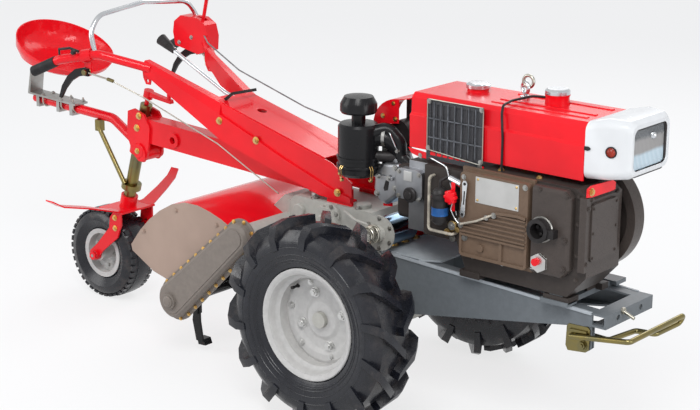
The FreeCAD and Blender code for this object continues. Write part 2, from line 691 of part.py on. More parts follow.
def head_lamp():
    lens = Part.Face(rounded_end(LAMP_X1 - 22.0, LAMP_HALF - 18.0, LAMP_Z0 + 20.0, LAMP_Z1 - 28.0, 19.0))
    lens = lens.extrude(V(14.0, 0, 0))
    bowl = box(LAMP_X1 - 90.0, LAMP_X1 - 21.0, -60.0, 60.0, LAMP_Z0 + 40.0, LAMP_Z1 - 48.0)
    ear = box(LAMP_X1 - 30.0, LAMP_X1 - 24.0, -14.0, 14.0, LAMP_Z0 + 1.0, LAMP_Z0 + 42.0)
    return join([lens, bowl, ear]).cut(NODES["lamp_housing"])


put("head_lamp", head_lamp())


def caps():
    radiator = turned_up([(0, HOOD_TOP + 30.3), (36, HOOD_TOP + 30.3), (36, HOOD_TOP + 40), (30, HOOD_TOP + 46),
                          (0, HOOD_TOP + 46)], 512, 30)
    fuel = turned_up([(0, HOOD_TOP + 10.3), (36, HOOD_TOP + 10.3), (36, HOOD_TOP + 20), (26, HOOD_TOP + 26),
                      (0, HOOD_TOP + 26)], 236, 30)
    return radiator, fuel


def lifting_eye():
    eye = Part.makeTorus(17.0, 5.5, V(402, 30, HOOD_TOP + 32.0), V(0.5, 1, 0))
    post = cyl(7.0, (402, 30, HOOD_TOP + 0.0), (402, 30, HOOD_TOP + 16.0))
    foot = cyl(15.0, (402, 30, HOOD_TOP + 0.0), (402, 30, HOOD_TOP + 8.0))
    return join([eye, post, foot])


put("hood_fittings", Part.makeCompound([*caps(), lifting_eye()]))


# air cleaner, silencer, fuel filter
def air_cleaner():
    x, y = -86.0, -130.0
    body = turned_up([(0, 690), (52, 690), (62, 700), (62, 742), (66, 742), (66, 750), (62, 750), (62, 842),
                      (56, 850), (21, 852), (21, 880), (52, 882), (56, 888), (56, 910), (44, 932), (0, 936)], x, y)
    inside = turned_up([(0, 696), (56, 704), (56, 840), (0, 845)], x, y)
    pipe = rod([(x + 46.0, y + 8.0, 826), (x + 78.0, y + 44.0, 838), (x + 116.0, y + 54.0, 800),
                (x + 120.0, y + 54.0, 752), (HEAD_X0 + 8.0, y + 54.0, 732)], 20.0, 30.0)
    return join([body.cut(inside), pipe.cut(inside)]).cut(NODES["cylinder_head"])


put("air_cleaner", air_cleaner())


def silencer():
    """Lying drum under a rounded sheet guard with a near end plate, and the exhaust neck on the head."""
    x, y = -6.0, 0.0
    drum = cyl(40.0, (x, y - 36.0, 812), (x, y + 100.0, 812)).cut(cyl(36.0, (x, y - 32.0, 812), (x, y + 96.0, 812)))
    neck = rod([(x, y, 776), (x, y, 708), (HEAD_X0 + 1.0, y - 20.0, 694)], 18.0, 24.0)
    turns = [math.radians(t) for t in range(90, 181, 10)]
    arc = [(98.0 * math.cos(t), 829.0 + 91.0 * math.sin(t)) for t in turns]
    inner = [(95.0 * math.cos(t), 829.0 + 88.0 * math.sin(t)) for t in turns]
    guard = side_plate([(44.0, 930.0)] + arc + list(reversed(inner)) + [(44.0, 927.0)], y - 46.0, y + 70.0)
    end = side_plate(arc + [(0.0, 846.0)], y - 46.0, y - 43.0)
    strap = box(x - 8.0, x + 8.0, y + 10.0, y + 30.0, 848, 918.0)
    return join([drum, neck.cut(cyl(36.0, (x, y - 32.0, 812), (x, y + 96.0, 812))), guard, end, strap])


put("silencer", silencer().cut(NODES["cylinder_head"]))


def fuel_filter():
    """Filter cup on its arm, the tap with its star knob, and the pipe down to the pump."""
    x, y = 262.0, COVER_Y + 2.0
    cup = turned_up([(0, 612), (14, 612), (24, 622), (24, 690), (28, 690), (28, 704), (0, 704)], x, y)
    wall = COVER_Y + COVER_T
    arm = box(x - 8.0, x + 8.0, y + 18.0, wall, 694, 704)
    knob = hexagon(17.0, (x + 47.0, y - 2.0, 704), (x + 47.0, y - 20.0, 704))
    lever = box(x + 40.0, x + 54.0, y - 2.0, wall, 660, 745)
    pipe = rod([(x - 46.0, wall, 744), (x - 46.0, y + 8.0, 744), (x - 46.0, y + 8.0, 586),
                (x + 38.0, y + 8.0, 586), (x + 38.0, wall, 586)], 4.5, 11.0)
    return [join([cup, arm]), join([knob, lever]), pipe]


put("fuel_filter", Part.makeCompound(fuel_filter()))


# clutch, belt guard on the left
def clutch_drum():
    """Polished barrel with an end flange, its spring boss and the pedestal on the gearbox."""
    x, z = DRUM_X, DRUM_Z
    r = DRUM_R
    t = DRUM_T
    drum = turned([(-146, 0), (-146, r), (-20, r), (-20, r - t), (-146 + t, r - t), (-146 + t, 0)], x, z)
    flange = turned([(-150, 0), (-150, r + 8.0), (-143, r + 8.0), (-143, 0)], x, z)
    boss = turned([(-210, 0), (-210, 10), (-168, 10), (-168, 20), (-149, 24), (-149, 0)], x, z)
    shaft = cyl(16.0, (x, -142, z), (x, GUARD_Y + GUARD_DEEP - GUARD_T, z))
    pedestal = box(-40.0, x, -18.0, 34.0, z - 26.0, z + 16.0)
    return join([drum, flange, boss, shaft, pedestal])


put("clutch_drum", clutch_drum())


def obround(a, b, ra, rb, y0, y1):
    """Slab with two round ends of different radius, tangent sides, along Y."""
    ax, az = a
    bx, bz = b
    d = math.hypot(bx - ax, bz - az)
    base = math.atan2(bz - az, bx - ax)
    lean = math.asin((ra - rb) / d)
    pts = []
    for s in (1, -1):
        t = base + s * (math.pi / 2.0 - lean)
        pts.append(V(ax + ra * math.cos(t), y0, az + ra * math.sin(t)))
        pts.append(V(bx + rb * math.cos(t), y0, bz + rb * math.sin(t)))
    back = V(ax - ra * math.cos(base), y0, az - ra * math.sin(base))
    fore = V(bx + rb * math.cos(base), y0, bz + rb * math.sin(base))
    wire = Part.Wire([Part.LineSegment(pts[0], pts[1]).toShape(), Part.Arc(pts[1], fore, pts[3]).toShape(),
                      Part.LineSegment(pts[3], pts[2]).toShape(), Part.Arc(pts[2], back, pts[0]).toShape()])
    return Part.Face(wire).extrude(V(0, y1 - y0, 0))


def belt_guard():
    a = (DRUM_X, DRUM_Z)
    b = (CRANK_X, CRANK_Z)
    t = GUARD_T
    y1 = GUARD_Y + GUARD_DEEP
    shell = obround(a, b, 116.0, 92.0, GUARD_Y, y1)
    shell = shell.cut(obround(a, b, 116.0 - t, 92.0 - t, GUARD_Y - 1.0, y1 - t))
    z = rail_z(300.0)
    foot = box(290.0, 330.0, RAIL_Y, RAIL_Y + 4.0, z - 30.0, z + 60.0)
    return join([shell, foot.cut(obround(a, b, 116.0 - t, 92.0 - t, GUARD_Y - 9.0, y1 - t))])


put("belt_guard", belt_guard())


# handlebar
def lever_guard():
    """Curved sheet over the clutch lever's pivot, open below and behind, on the left tube."""
    outer = [(-1196, 904), (-1206, 950), (-1200, 988), (-1168, 1012), (-1084, 1010), (-1048, 990), (-1036, 950),
             (-1040, 900), (-1084, 884)]
    inner = [(-1197, 880), (-1200, 950), (-1194, 984), (-1166, 1007), (-1086, 1005), (-1052, 986), (-1041, 950),
             (-1045, 880)]
    shell = side_plate(outer, 196.0, 252.0)
    return shell.cut(side_plate(inner, 200.0, 248.0)).cut(box(-1196.0, -1190.0, 200.0, 248.0, 890.0, 990.0))


def handlebar():
    """Pressed arms that widen forward with their feet, and the tubes of the grips."""
    h = ARM_HALF
    step = ARM_STEP
    web = [(-704, 812), (-232, 692), (ARM_FRONT_X, 640), (ARM_FRONT_X, 578), (-273, 582), (-484, 633), (-704, 692)]
    channel = [(-704, 776), (-419, 672), (-232, 612), (ARM_FRONT_X, 594), (ARM_FRONT_X, 578), (-273, 582), (-484, 633),
               (-704, 692)]
    lip = [(-704, 698), (-484, 639), (-273, 588), (ARM_FRONT_X, 584), (ARM_FRONT_X, 578), (-273, 582), (-484, 633),
           (-704, 692)]
    side = join([side_plate(web, -h, -h + ARM_T), side_plate(channel, -h - step, -h + 1.0),
                 side_plate(lip, -h - step, -h + 26.0)])
    a = Part.makePolygon([V(-704, -h - step, 776), V(-704, -h - step, 692), V(-704, -h + 34, 692),
                          V(-704, -h + 34, 812), V(-704, -h, 812), V(-704, -h - step, 776)])
    y = -ARM_REAR_HALF
    b = Part.makePolygon([V(-985, y, 914), V(-985, y, 884), V(-985, y + 30, 884), V(-985, y + 30, 926),
                          V(-985, y + 8, 926), V(-985, y, 914)])
    horn = Part.makeLoft([a, b], True, True)
    tube = rod([(-966, y + 15, 900), (-1110, -245, 944), (-1235, -300, 918), (-1340, -322, 869)], BAR_R, 70.0)
    foot = box(ARM_FRONT_X - 100.0, ARM_FRONT_X, -h, -h + 10.0, GEARBOX_TOP, GEARBOX_TOP + 54.0)
    tab = side_plate([(-1000, 890), (-960, 872), (-966, 846), (-984, 846), (-996, 866)], y + 10.0, y + 16.0)
    tab = tab.cut(cyl(6.0, (-977, y, 858), (-977, y + 30.0, 858)))
    right, left = both(join([side, horn, tube, foot, tab]))
    return Part.makeCompound([right, join([left, lever_guard()])])


put("handlebar", handlebar())


def handle_panel():
    """Sheet welded between the arms, with a hole over the gear rod."""
    h = ARM_HALF - ARM_T
    sheet = side_plate([(-740, 824), (-262, 703), (-262, 699), (-740, 820)], -h, h)
    sheet = sheet.cut(cyl(16.0, (-600, 0, 740), (-600, 0, 860)))
    return biggest(sheet.cut(NODES["handlebar"]))


put("handle_panel", handle_panel())


def grips():
    a, b = V(-1235, -300, 918), V(-1340, -322, 869)
    d = (b - a).normalize()
    start = b - d * 100.0
    outer = Part.makeCylinder(GRIP_R, 104.0, start, d)
    return outer.cut(Part.makeCylinder(BAR_R, 100.0, start, d))


put("handle_grips", Part.makeCompound(both(grips())))


def guard_rail():
    """Hoop across the handlebar; its ends are welded on the tubes."""
    half = [(-1118, -247, 942), (-1140, -246, 1014), (-1144, -205, 1064)]
    pts = half + [(-1146, 0, 1084)] + [(x, -y, z) for x, y, z in reversed(half)]
    return biggest(rod(pts, 8.5, 64.0).cut(NODES["handlebar"]))


put("guard_rail", guard_rail())


def clutch_lever():
    """Lever on a pin across the guard; it comes up through a slot in the guard's crown."""
    pin = cyl(7.0, (-1092, 200, 968), (-1092, 248, 968))
    shank = cyl(6.5, (-1092, 224, 966), (-1064, 224, 1082))
    grip = Part.makeCone(8.0, 15.0, 118.0, V(-1066, 224, 1074), V(21, 0, 111))
    tail = side_plate([(-1104, 976), (-1082, 976), (-1088, 912), (-1098, 912)], 201.0, 208.0)
    return join([pin, shank, grip, tail])


put("clutch_lever", clutch_lever())
NODES["handlebar"] = NODES["handlebar"].cut(box(-1112.0, -1062.0, 214.0, 234.0, 1000.0, 1020.0))


def steering_levers():
    """Squeeze levers shaped like sickles below the grips, each on a clamp round the handlebar tube."""
    blade = side_plate([(-1138, 894), (-1160, 896), (-1200, 886), (-1240, 858), (-1270, 820), (-1286, 780),
                        (-1276, 776), (-1252, 812), (-1222, 842), (-1186, 862), (-1160, 868), (-1138, 868)], -266, -257)
    plate = side_plate([(-1130, 934), (-1160, 934), (-1164, 876), (-1148, 866), (-1130, 872)], -257, -252)
    clamp = cyl(BAR_R + 6.0, (-1130, -253, 940), (-1160, -267, 934))
    pivot = cyl(9.0, (-1148, -270, 882), (-1148, -246, 882))
    return join([blade, plate, clamp, pivot])


put("steering_levers", Part.makeCompound([biggest(s.cut(NODES["handlebar"])) for s in both(steering_levers())]))


def gear_lever():
    stick = rod([(-660, 0, 792), (-765, 0, 826), (-1005, 0, 937)], 7.0, 60.0)
    knob = Part.makeCone(11.0, 20.0, 70.0, V(-1000, 0, 935), V(-62, 0, 32))
    return biggest(join([stick, knob]).cut(NODES["handle_panel"]))


put("gear_lever", gear_lever())


# tiller
def tiller_beam():
    slope = (648.0 - 612.0) / (-1170.0 + 330.0)

    def mid(x):
        return 648.0 + slope * (x + 1170.0)

    h = BEAM_H / 2.0
    w = BEAM_W / 2.0
    t = 5.0
    x0, x1 = -1150.0, -330.0
    out = side_plate([(x0, mid(x0) - h), (x1, mid(x1) - h), (x1, mid(x1) + h), (x0, mid(x0) + h)], -w, w)
    hollow = side_plate([(x0 - 1, mid(x0) - h + t), (x1 + 1, mid(x1) - h + t), (x1 + 1, mid(x1) + h - t),
                         (x0 - 1, mid(x0) + h - t)], -w + t, w - t)
    beam = out.cut(hollow)
    x, z = BEAM_BOSS
    seat = box(x1 - 40.0, x1, -w, w, GEARBOX_TOP, mid(x1) - h + 2.0)
    body = join([beam, seat, cyl(26.0, (x, -w - 8.0, z), (x, w + 8.0, z))])
    return body.cut(cyl(BEAM_BOSS_R, (x, -w - 9.0, z), (x, w + 9.0, z)))


def column_point(k):
    """k = 0 at the crank, 1 at the low end of the column."""
    x = COLUMN_TOP[0] + (COLUMN_LOW[0] - COLUMN_TOP[0]) * k
    z = COLUMN_TOP[1] + (COLUMN_LOW[1] - COLUMN_TOP[1]) * k
    return (x, 0.0, z)


def column_clamp():
    sleeve = ring(SLEEVE_R, COLUMN_R + RUN_GAP, column_point(0.22), column_point(0.56))
    x, _, z = column_point(0.38)
    lug_plate = box(x - 2.0, -1140.0, -BEAM_W / 2.0, BEAM_W / 2.0, z - 44.0, z + 44.0)
    lug_plate = lug_plate.cut(cyl(SLEEVE_R - 1.0, column_point(0.1), column_point(0.7)))
    bx, bz = CLAMP_BOSS
    outline = [(-1196, 706), (-1166, 718), (-1118, 704), (-1090, 660), (-1096, 600), (bx + 26.0, bz - 10.0),
               (bx + 10.0, bz - 28.0), (bx - 14.0, bz - 27.0), (-1178, 560), (-1204, 620)]
    plates = both(side_plate(outline, -CLAMP_Y, -BEAM_W / 2.0 + 1.0))
    boss = cyl(25.0, (bx, -CLAMP_Y - 6.0, bz), (bx, CLAMP_Y + 6.0, bz))
    return join([sleeve, lug_plate, boss] + plates)


BEAM = join([tiller_beam(), column_clamp()])
BORE = cyl(COLUMN_R + RUN_GAP, column_point(-0.1), column_point(0.8))
put("tail_beam", BEAM.cut(BORE))


def tiller_gearcase():
    """Case behind the gearbox with the cross tubes that carry the end plates."""
    x = GEARBOX_REAR
    case = side_plate([(x, 546), (x, 424), (x - 78, 400), (x - 108, 420), (x - 108, 500), (x - 58, 546)],
                      -60.0, 60.0)
    tx, tz = CHAIN_TOP
    tubes = both(cyl(CROSS_R, (tx, -TILLER_HALF + HOOD_PLATE_T, tz), (tx, -56.0, tz)))
    whole = join([case, box(x - 10.0, x, -GEARBOX_HALF, GEARBOX_HALF, 424, 546)] + tubes)
    return biggest(whole.cut(NODES["gearbox"]))


put("tiller_gearcase", tiller_gearcase())


HOOD_ARC = [(-440, 478), (-499, 505), (-550, 521), (-604, 532), (-660, 531), (-720, 514), (-777, 482), (-826, 444),
            (-870, 400), (-915, 342)]


def tiller_hood():
    t = HOOD_PLATE_T
    outer = HOOD_ARC
    inner = []
    cx, cz = ROTOR_X, ROTOR_Z
    for x, z in outer:
        d = math.hypot(x - cx, z - cz)
        inner.append((x + (cx - x) * t / d, z + (cz - z) * t / d))
    sheet = side_plate(outer + list(reversed(inner)), -TILLER_HALF, TILLER_HALF)
    sheet = biggest(sheet.cut(NODES["tiller_gearcase"]))
    return join([sheet] + both(side_shield()))


def side_shield():
    """Flat end plate of the tiller with an arm down to the rotor's bearing."""
    x, z = ROTOR_X, ROTOR_Z
    top_x, top_z = CHAIN_TOP
    y0 = -TILLER_HALF
    y1 = y0 + HOOD_PLATE_T
    pts = HOOD_ARC + [(-910, 322), (-812, 270), (x - 54.0, 254), (x - 46.0, z), (x + 46.0, z), (x + 190.0, z + 130.0),
                      (top_x - 8.0, top_z - 52.0), (top_x + 36.0, top_z - 30.0), (top_x + 36.0, top_z + 22.0)]
    plate = side_plate(pts, y0, y1).fuse(cyl(46.0, (x, y0, z), (x, y1, z)))
    return plate.cut(cyl(ROTOR_SHAFT_R - 9.0 + RUN_GAP, (x, y0 - 1.0, z), (x, y1 + 1.0, z)))


put("tiller_hood", tiller_hood())


def chain_case():
    """Long case of the side drive with a bolted flange."""
    low = (ROTOR_X, ROTOR_Z)
    top_r = CHAIN_TOP_R
    body = obround(low, CHAIN_TOP, CHAIN_R - 12.0, top_r - 12.0, CASE_Y - CASE_T, CASE_Y)
    rim = [e for e in body.Edges if abs(e.BoundBox.YMin - (CASE_Y - CASE_T)) < 0.01 and e.BoundBox.YLength < 0.01]
    body = body.makeChamfer(9.0, rim)
    flange = obround(low, CHAIN_TOP, CHAIN_R, top_r, CASE_Y - 14.0, CASE_Y - 4.0)
    boss = cyl(26.0, (low[0], CASE_Y - CASE_T + 1.0, low[1]), (low[0], CASE_Y - CASE_T - 12.0, low[1]))
    inner = obround(low, CHAIN_TOP, CHAIN_R - 22.0, top_r - 22.0, CASE_Y - CASE_T + 8.0, CASE_Y - 6.0)
    case = join([body.cut(inner), flange.cut(inner), boss])
    bore = cyl(ROTOR_SHAFT_R - 9.0 + RUN_GAP, (low[0], CASE_Y - 12.0, low[1]), (low[0], CASE_Y + 1.0, low[1]))
    return case.cut(bore)


put("chain_case", chain_case())


def rotor():
    """Shaft with paired curved tines, turned step by step along the shaft."""
    x, z = ROTOR_X, ROTOR_Z
    shaft = cyl(ROTOR_SHAFT_R, (x, -ROTOR_HALF, z), (x, ROTOR_HALF, z))
    stub = cyl(ROTOR_SHAFT_R - 9.0, (x, CASE_Y - CASE_T + 8.0, z), (x, -ROTOR_HALF, z))
    end = cyl(ROTOR_SHAFT_R - 9.0, (x, ROTOR_HALF, z), (x, TILLER_HALF + 8.0, z))
    parts = [shaft, stub, end]
    blades = []
    for i in range(TINE_COUNT):
        y = (i - (TINE_COUNT - 1) / 2.0) * TINE_STEP
        for j in range(2):
            turn = 52.0 * i + 180.0 * j
            hand = 1 if (i + j) % 2 else -1
            blades.append(tine(x, y, z, turn, hand))
    return join(parts), blades


def tine(x, y, z, turn, hand):
    """Holder and blade: a flat bar out to the bend, then a foot across."""
    r = TINE_R
    holder = box(-9.0, 9.0, -13.0, 13.0, ROTOR_SHAFT_R - 6.0, 74.0)
    bar = polygon([(-13, -4, 52), (13, -4, 52), (20, -4, 100), (4, -4, r - 22), (-26, -4, r - 22), (-14, -4, 100)])
    bar = bar.extrude(V(0, 8, 0))
    foot = polygon([(-26, 0, r - 30), (4, 0, r - 30), (-2, 0, r - 8), (-34, 0, r - 10)]).extrude(V(0, 34 * hand, 0))
    blade = join([holder, bar, foot])
    blade.rotate(V(0, 0, 0), V(0, 1, 0), turn)
    blade.translate(V(x, y, z))
    return blade


SHAFT, TINES = rotor()
put("rotor_shaft", SHAFT)
put("rotor_tines", Part.makeCompound([t.cut(SHAFT) for t in TINES]))


# column, fork and tail wheel
put("tail_column", cyl(COLUMN_R, column_point(0.10), column_point(COLUMN_END_K)))


def crank():
    """Hub on the column's spindle with a long arm forward and a short handle."""
    a = V(*column_point(0.10))
    b = V(*column_point(0.0))
    spindle = cyl(8.0, tuple(a), tuple(b))
    hub = cyl(17.0, column_point(0.045), column_point(-0.03))
    arm = side_plate([(b.x - 14, b.z + 6), (b.x + 14, b.z + 8), (b.x + 112, b.z - 8), (b.x + 114, b.z - 20),
                      (b.x + 14, b.z - 10), (b.x - 14, b.z - 10)], -9, 9)
    handle = cyl(7.0, (b.x + 100, 0, b.z - 18), (b.x + 100, 0, b.z + 24))
    return join([spindle, hub, arm, handle])


put("depth_crank", crank())


def foot_rest(z):
    """Tapered plate that rises outwards, with an upturned end."""
    y = -FORK_HALF
    tip = -REST_TIP_Y
    knee = tip + 34.0
    t = 5.0
    # columns: place along Y, rear X, front X, height over the fork's plate
    rows = [(y + 14.0, -1268.0, -1200.0, -4.0), (y - 10.0, -1266.0, -1206.0, 0.0),
            (-180.0, -1288.0, -1238.0, 0.45 * REST_RISE),
            (knee, -1326.0, -1282.0, 0.72 * REST_RISE), (tip, -1338.0, -1300.0, REST_RISE + 6.0)]
    parts = []
    for (y0, a0, b0, h0), (y1, a1, b1, h1) in zip(rows, rows[1:]):
        first = Part.makePolygon([V(a0, y0, z + h0), V(b0, y0, z + h0), V(b0, y0, z + h0 + t), V(a0, y0, z + h0 + t),
                                  V(a0, y0, z + h0)])
        last = Part.makePolygon([V(a1, y1, z + h1), V(b1, y1, z + h1), V(b1, y1, z + h1 + t), V(a1, y1, z + h1 + t),
                                 V(a1, y1, z + h1)])
        parts.append(Part.makeLoft([first, last], True, True))
    return join(parts)


def fork():
    """Top plate over the tyre, two curved side plates down to the axle, and the two foot rests."""
    top_z = TAIL_R * 2.0 + MOVE_GAP + 4.0
    x0, x1 = -1318.0, -1196.0
    plate = box(x0, x1, -FORK_HALF, FORK_HALF, top_z, top_z + FORK_T)
    collar = cyl(30.0, column_point(0.98), column_point(1.12))
    collar = collar.cut(box(x0 - 60.0, x1 + 60.0, -60.0, 60.0, top_z - 100.0, top_z + 1.0))
    arm = [(-1240, top_z + FORK_T), (-1206, top_z + FORK_T), (-1206, top_z - 40), (-1226, top_z - 90),
           (TAIL_X + 42, TAIL_R + 25), (TAIL_X, TAIL_R - 19), (TAIL_X - 30, TAIL_R - 15), (TAIL_X - 30, TAIL_R + 11),
           (TAIL_X + 8, TAIL_R + 43), (-1268, top_z - 60),
           (-1262, top_z - 20)]
    side = side_plate(arm, -FORK_HALF, -FORK_HALF + FORK_T)
    rest = foot_rest(top_z + FORK_T)
    axle_boss = cyl(18.0, (TAIL_X, -FORK_HALF - 8.0, TAIL_R), (TAIL_X, -FORK_HALF + FORK_T + 3.0, TAIL_R))
    parts = [plate, collar]
    for s in (side, rest, axle_boss):
        parts += both(s)
    axle = cyl(TAIL_AXLE_R, (TAIL_X, -FORK_HALF - 10.0, TAIL_R), (TAIL_X, FORK_HALF + 10.0, TAIL_R))
    nut = hexagon(16.0, (TAIL_X, -FORK_HALF - 7.0, TAIL_R), (TAIL_X, -FORK_HALF - 18.0, TAIL_R))
    body = join(parts + [axle] + both(nut))
    return body.cut(cyl(COLUMN_R + RUN_GAP, column_point(0.8), column_point(COLUMN_END_K + 0.005)))


put("tail_fork", fork())

TAIL_TYRE = turned(tyre_outside(TAIL_R, TAIL_RIM_R - 15.0, TAIL_RIM_R - 2.0, TAIL_HALF, TAIL_HALF - 18.0), 0, 0)
TAIL_TYRE = TAIL_TYRE.cut(turned(tyre_cavity(TAIL_R, TAIL_RIM_R - 15.0, TAIL_HALF, TAIL_HALF - 18.0, 9.0), 0, 0))
TAIL_TYRE.translate(V(TAIL_X, 0, TAIL_R))
put("tail_tyre", TAIL_TYRE)


def tail_rim():
    h = TAIL_HALF - 18.0
    b = TAIL_RIM_R - 15.0
    well = [(-h - 3, b + 13), (-h + 2, b + 13), (-h + 3, b), (-h + 26, b - 3), (h - 26, b - 3), (h - 3, b),
            (h - 2, b + 13),
            (h + 3, b + 13), (h + 2, b - 4), (-h - 2, b - 4)]
    disc = [(-6, 20), (-6, 40), (-18, 54), (-18, b - 3), (-12, b - 3), (-12, 56), (0, 42), (0, 20)]
    bore = TAIL_AXLE_R + RUN_GAP
    hub_y = FORK_HALF - FORK_T - 5.0
    hub = [(-hub_y, bore), (-hub_y, 24), (hub_y, 24), (hub_y, bore)]
    return join([turned(profile, TAIL_X, TAIL_R) for profile in (well, disc, hub)])


put("tail_rim", tail_rim())


# seat
def seat_under(x):
    """Height of the tilted pan's underside."""
    return SEAT_Z + (SEAT_X - x) * math.tan(math.radians(SEAT_TILT))


def seat():
    """Pressed bowl, tilted back; its rim is cut low at the front and high at the back."""
    r = SEAT_R
    t = SEAT_T
    top = SEAT_BACK + 30.0
    outer = [(0, 0), (r * 0.34, 0), (r * 0.66, 8), (r * 0.86, 26), (r * 0.96, 58), (r, top)]
    inner = [(r - t, top), (r * 0.96 - t, 58), (r * 0.86 - t, 27 + 0.6 * t), (r * 0.66 - 1.0, 8 + t), (r * 0.34, t),
             (0, t)]
    bowl = turned_up(outer + inner, 0, 0)
    big = 2.0 * r
    slope = (SEAT_BACK - SEAT_FRONT) / (2.0 * r)
    middle = 0.5 * (SEAT_BACK + SEAT_FRONT)
    above = side_plate([(-big, middle + slope * big), (big, middle - slope * big), (big, top + 90.0),
                        (-big, top + 90.0)],
                       -big, big)
    pan = bowl.cut(above)
    pan.rotate(V(0, 0, 0), V(0, 1, 0), SEAT_TILT)
    pan.translate(V(SEAT_X, 0, SEAT_Z))
    return pan


put("seat_pan", seat())


def seat_tube():
    r = SEAT_TUBE_R
    ax, az = SEAT_BEND
    bx, bz = SEAT_TUBE_END
    cx, cz = CLAMP_BOSS
    tube = rod([(bx, 0, bz), (ax, 0, az), (cx - 60.0, 0, cz + 24.0), (cx, 0, cz)], r, 70.0).cut(NODES["tail_beam"])
    tube = tube.cut(cyl(COLUMN_R + RUN_GAP, column_point(0.1), column_point(0.8)))

    def top(x):
        return az + (bz - az) * (x - ax) / (bx - ax) + r

    x0, x1 = bx - 10.0, -1480.0
    t = 6.0
    bar = side_plate([(x0, top(x0)), (x1, top(x1)), (x1, top(x1) + 7.0), (x0, top(x0) + 7.0)], -30, 30)
    back = SEAT_X - 0.18 * SEAT_R
    fore = SEAT_X + 0.3 * SEAT_R
    low = top(x0) + 5.0
    spring = side_plate([(x0, low), (x0 + 2.0 * t, low), (x0 + 4.0 * t, seat_under(back) - 48.0),
                         (back, seat_under(back) - t),
                         (fore, seat_under(fore) - t), (fore, seat_under(fore)), (back, seat_under(back)),
                         (x0 + 3.0 * t, seat_under(back) - 40.0)], -30, 30)
    clamps = [box(x - 8.0, x + 8.0, -26, 26, top(x) - 2.0 * r - 6.0, top(x) + 3.0) for x in SEAT_CLAMPS]
    return biggest(tube), join([spring, bar] + clamps).cut(tube)


TUBE, SPRING = seat_tube()
put("seat_tube", TUBE)
put("seat_spring", SPRING)


def stay():
    """Thin strut from an ear below the seat tube down to a collar round the column."""
    x, _, z = column_point(COLLAR_K)
    side = -COLUMN_R - STAY_R - 1.5
    ear = box(-1384, -1360, -24, 0, 604, 644).cut(NODES["seat_tube"])
    strut = cyl(STAY_R, (-1370, -18, 616), (x - 4.0, side, z + 2.0))
    collar = ring(COLUMN_R + STAY_R + 6.0, COLUMN_R + RUN_GAP, column_point(COLLAR_K), column_point(COLLAR_K + 0.05))
    strut = strut.cut(cyl(COLUMN_R + 0.5, column_point(0.3), column_point(0.95)))
    return join([ear, strut, collar])


put("seat_stay", stay())


# front stand
def stand():
    """Bent rod folded forward: outer leg, foot, hairpin under the foot and inner leg."""
    r = STAND_ROD
    x, z = STAND_PIVOT
    out_y = -RAIL_Y - MOVE_GAP - r
    in_y = -RAIL_Y + 34.0
    pts = [(x, out_y, z), (884, out_y, 387), (884, 156, 387), (872, 156, 361), (866, 34, 359), (804, 30, 356),
           (790, in_y, 358), (x, in_y, z)]
    pin = cyl(r, (x, out_y, z), (x, in_y, z))
    return join([rod(pts, r, 12.0), pin])


put("front_stand", stand())


def rail_low(x):
    foot_x = 98.0
    z0 = rail_z(foot_x) - RAIL_DEEP
    z1 = rail_z(RAIL_FRONT_X) - RAIL_SHALLOW
    return z0 + (z1 - z0) * (x - foot_x) / (RAIL_FRONT_X - foot_x)


def stand_bracket():
    x, z = STAND_PIVOT
    pts = [(672, rail_low(672)), (752, rail_low(752)), (752, 330), (738, 318), (676, 312), (670, 330)]
    outer = side_plate(pts, -RAIL_Y + 3.0, -RAIL_Y + 8.0)
    inner = side_plate(pts, -RAIL_Y + 16.0, -RAIL_Y + 21.0)
    spacer = cyl(7.0, (730, -RAIL_Y + 7.0, 337), (730, -RAIL_Y + 17.0, 337))
    body = join([outer, inner, spacer])
    return body.cut(cyl(STAND_ROD + RUN_GAP, (x, -RAIL_Y, z), (x, -RAIL_Y + 30.0, z)))


put("chassis_frame", join([NODES["chassis_frame"], stand_bracket()]))


# move to the final place and write
def overall():
    bounds = FreeCAD.BoundBox()
    for shape in NODES.values():
        bounds.add(shape.BoundBox)
    return bounds


LIMITS = overall()
SHIFT = V(-(LIMITS.XMin + LIMITS.XMax) / 2.0, 0, 0)
print("shift", SHIFT, "size", LIMITS.XLength, LIMITS.YLength, LIMITS.ZLength, "low", LIMITS.ZMin)

os.makedirs("parts", exist_ok=True)
for name in sorted(NODES):
    moved = NODES[name].copy()
    moved.translate(SHIFT)
    kind = "valid" if moved.isValid() else "NOT VALID"
    print(name, len(moved.Solids), kind, round(moved.Volume / 1e6, 3))
    moved.exportStep("parts/" + name + ".step")
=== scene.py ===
"""Looks of a walking tractor with a rotary tiller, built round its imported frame."""

import json
import math

import bmesh
import bpy
from bpy.props import FloatProperty, FloatVectorProperty, PointerProperty
from mathutils import Matrix, Vector

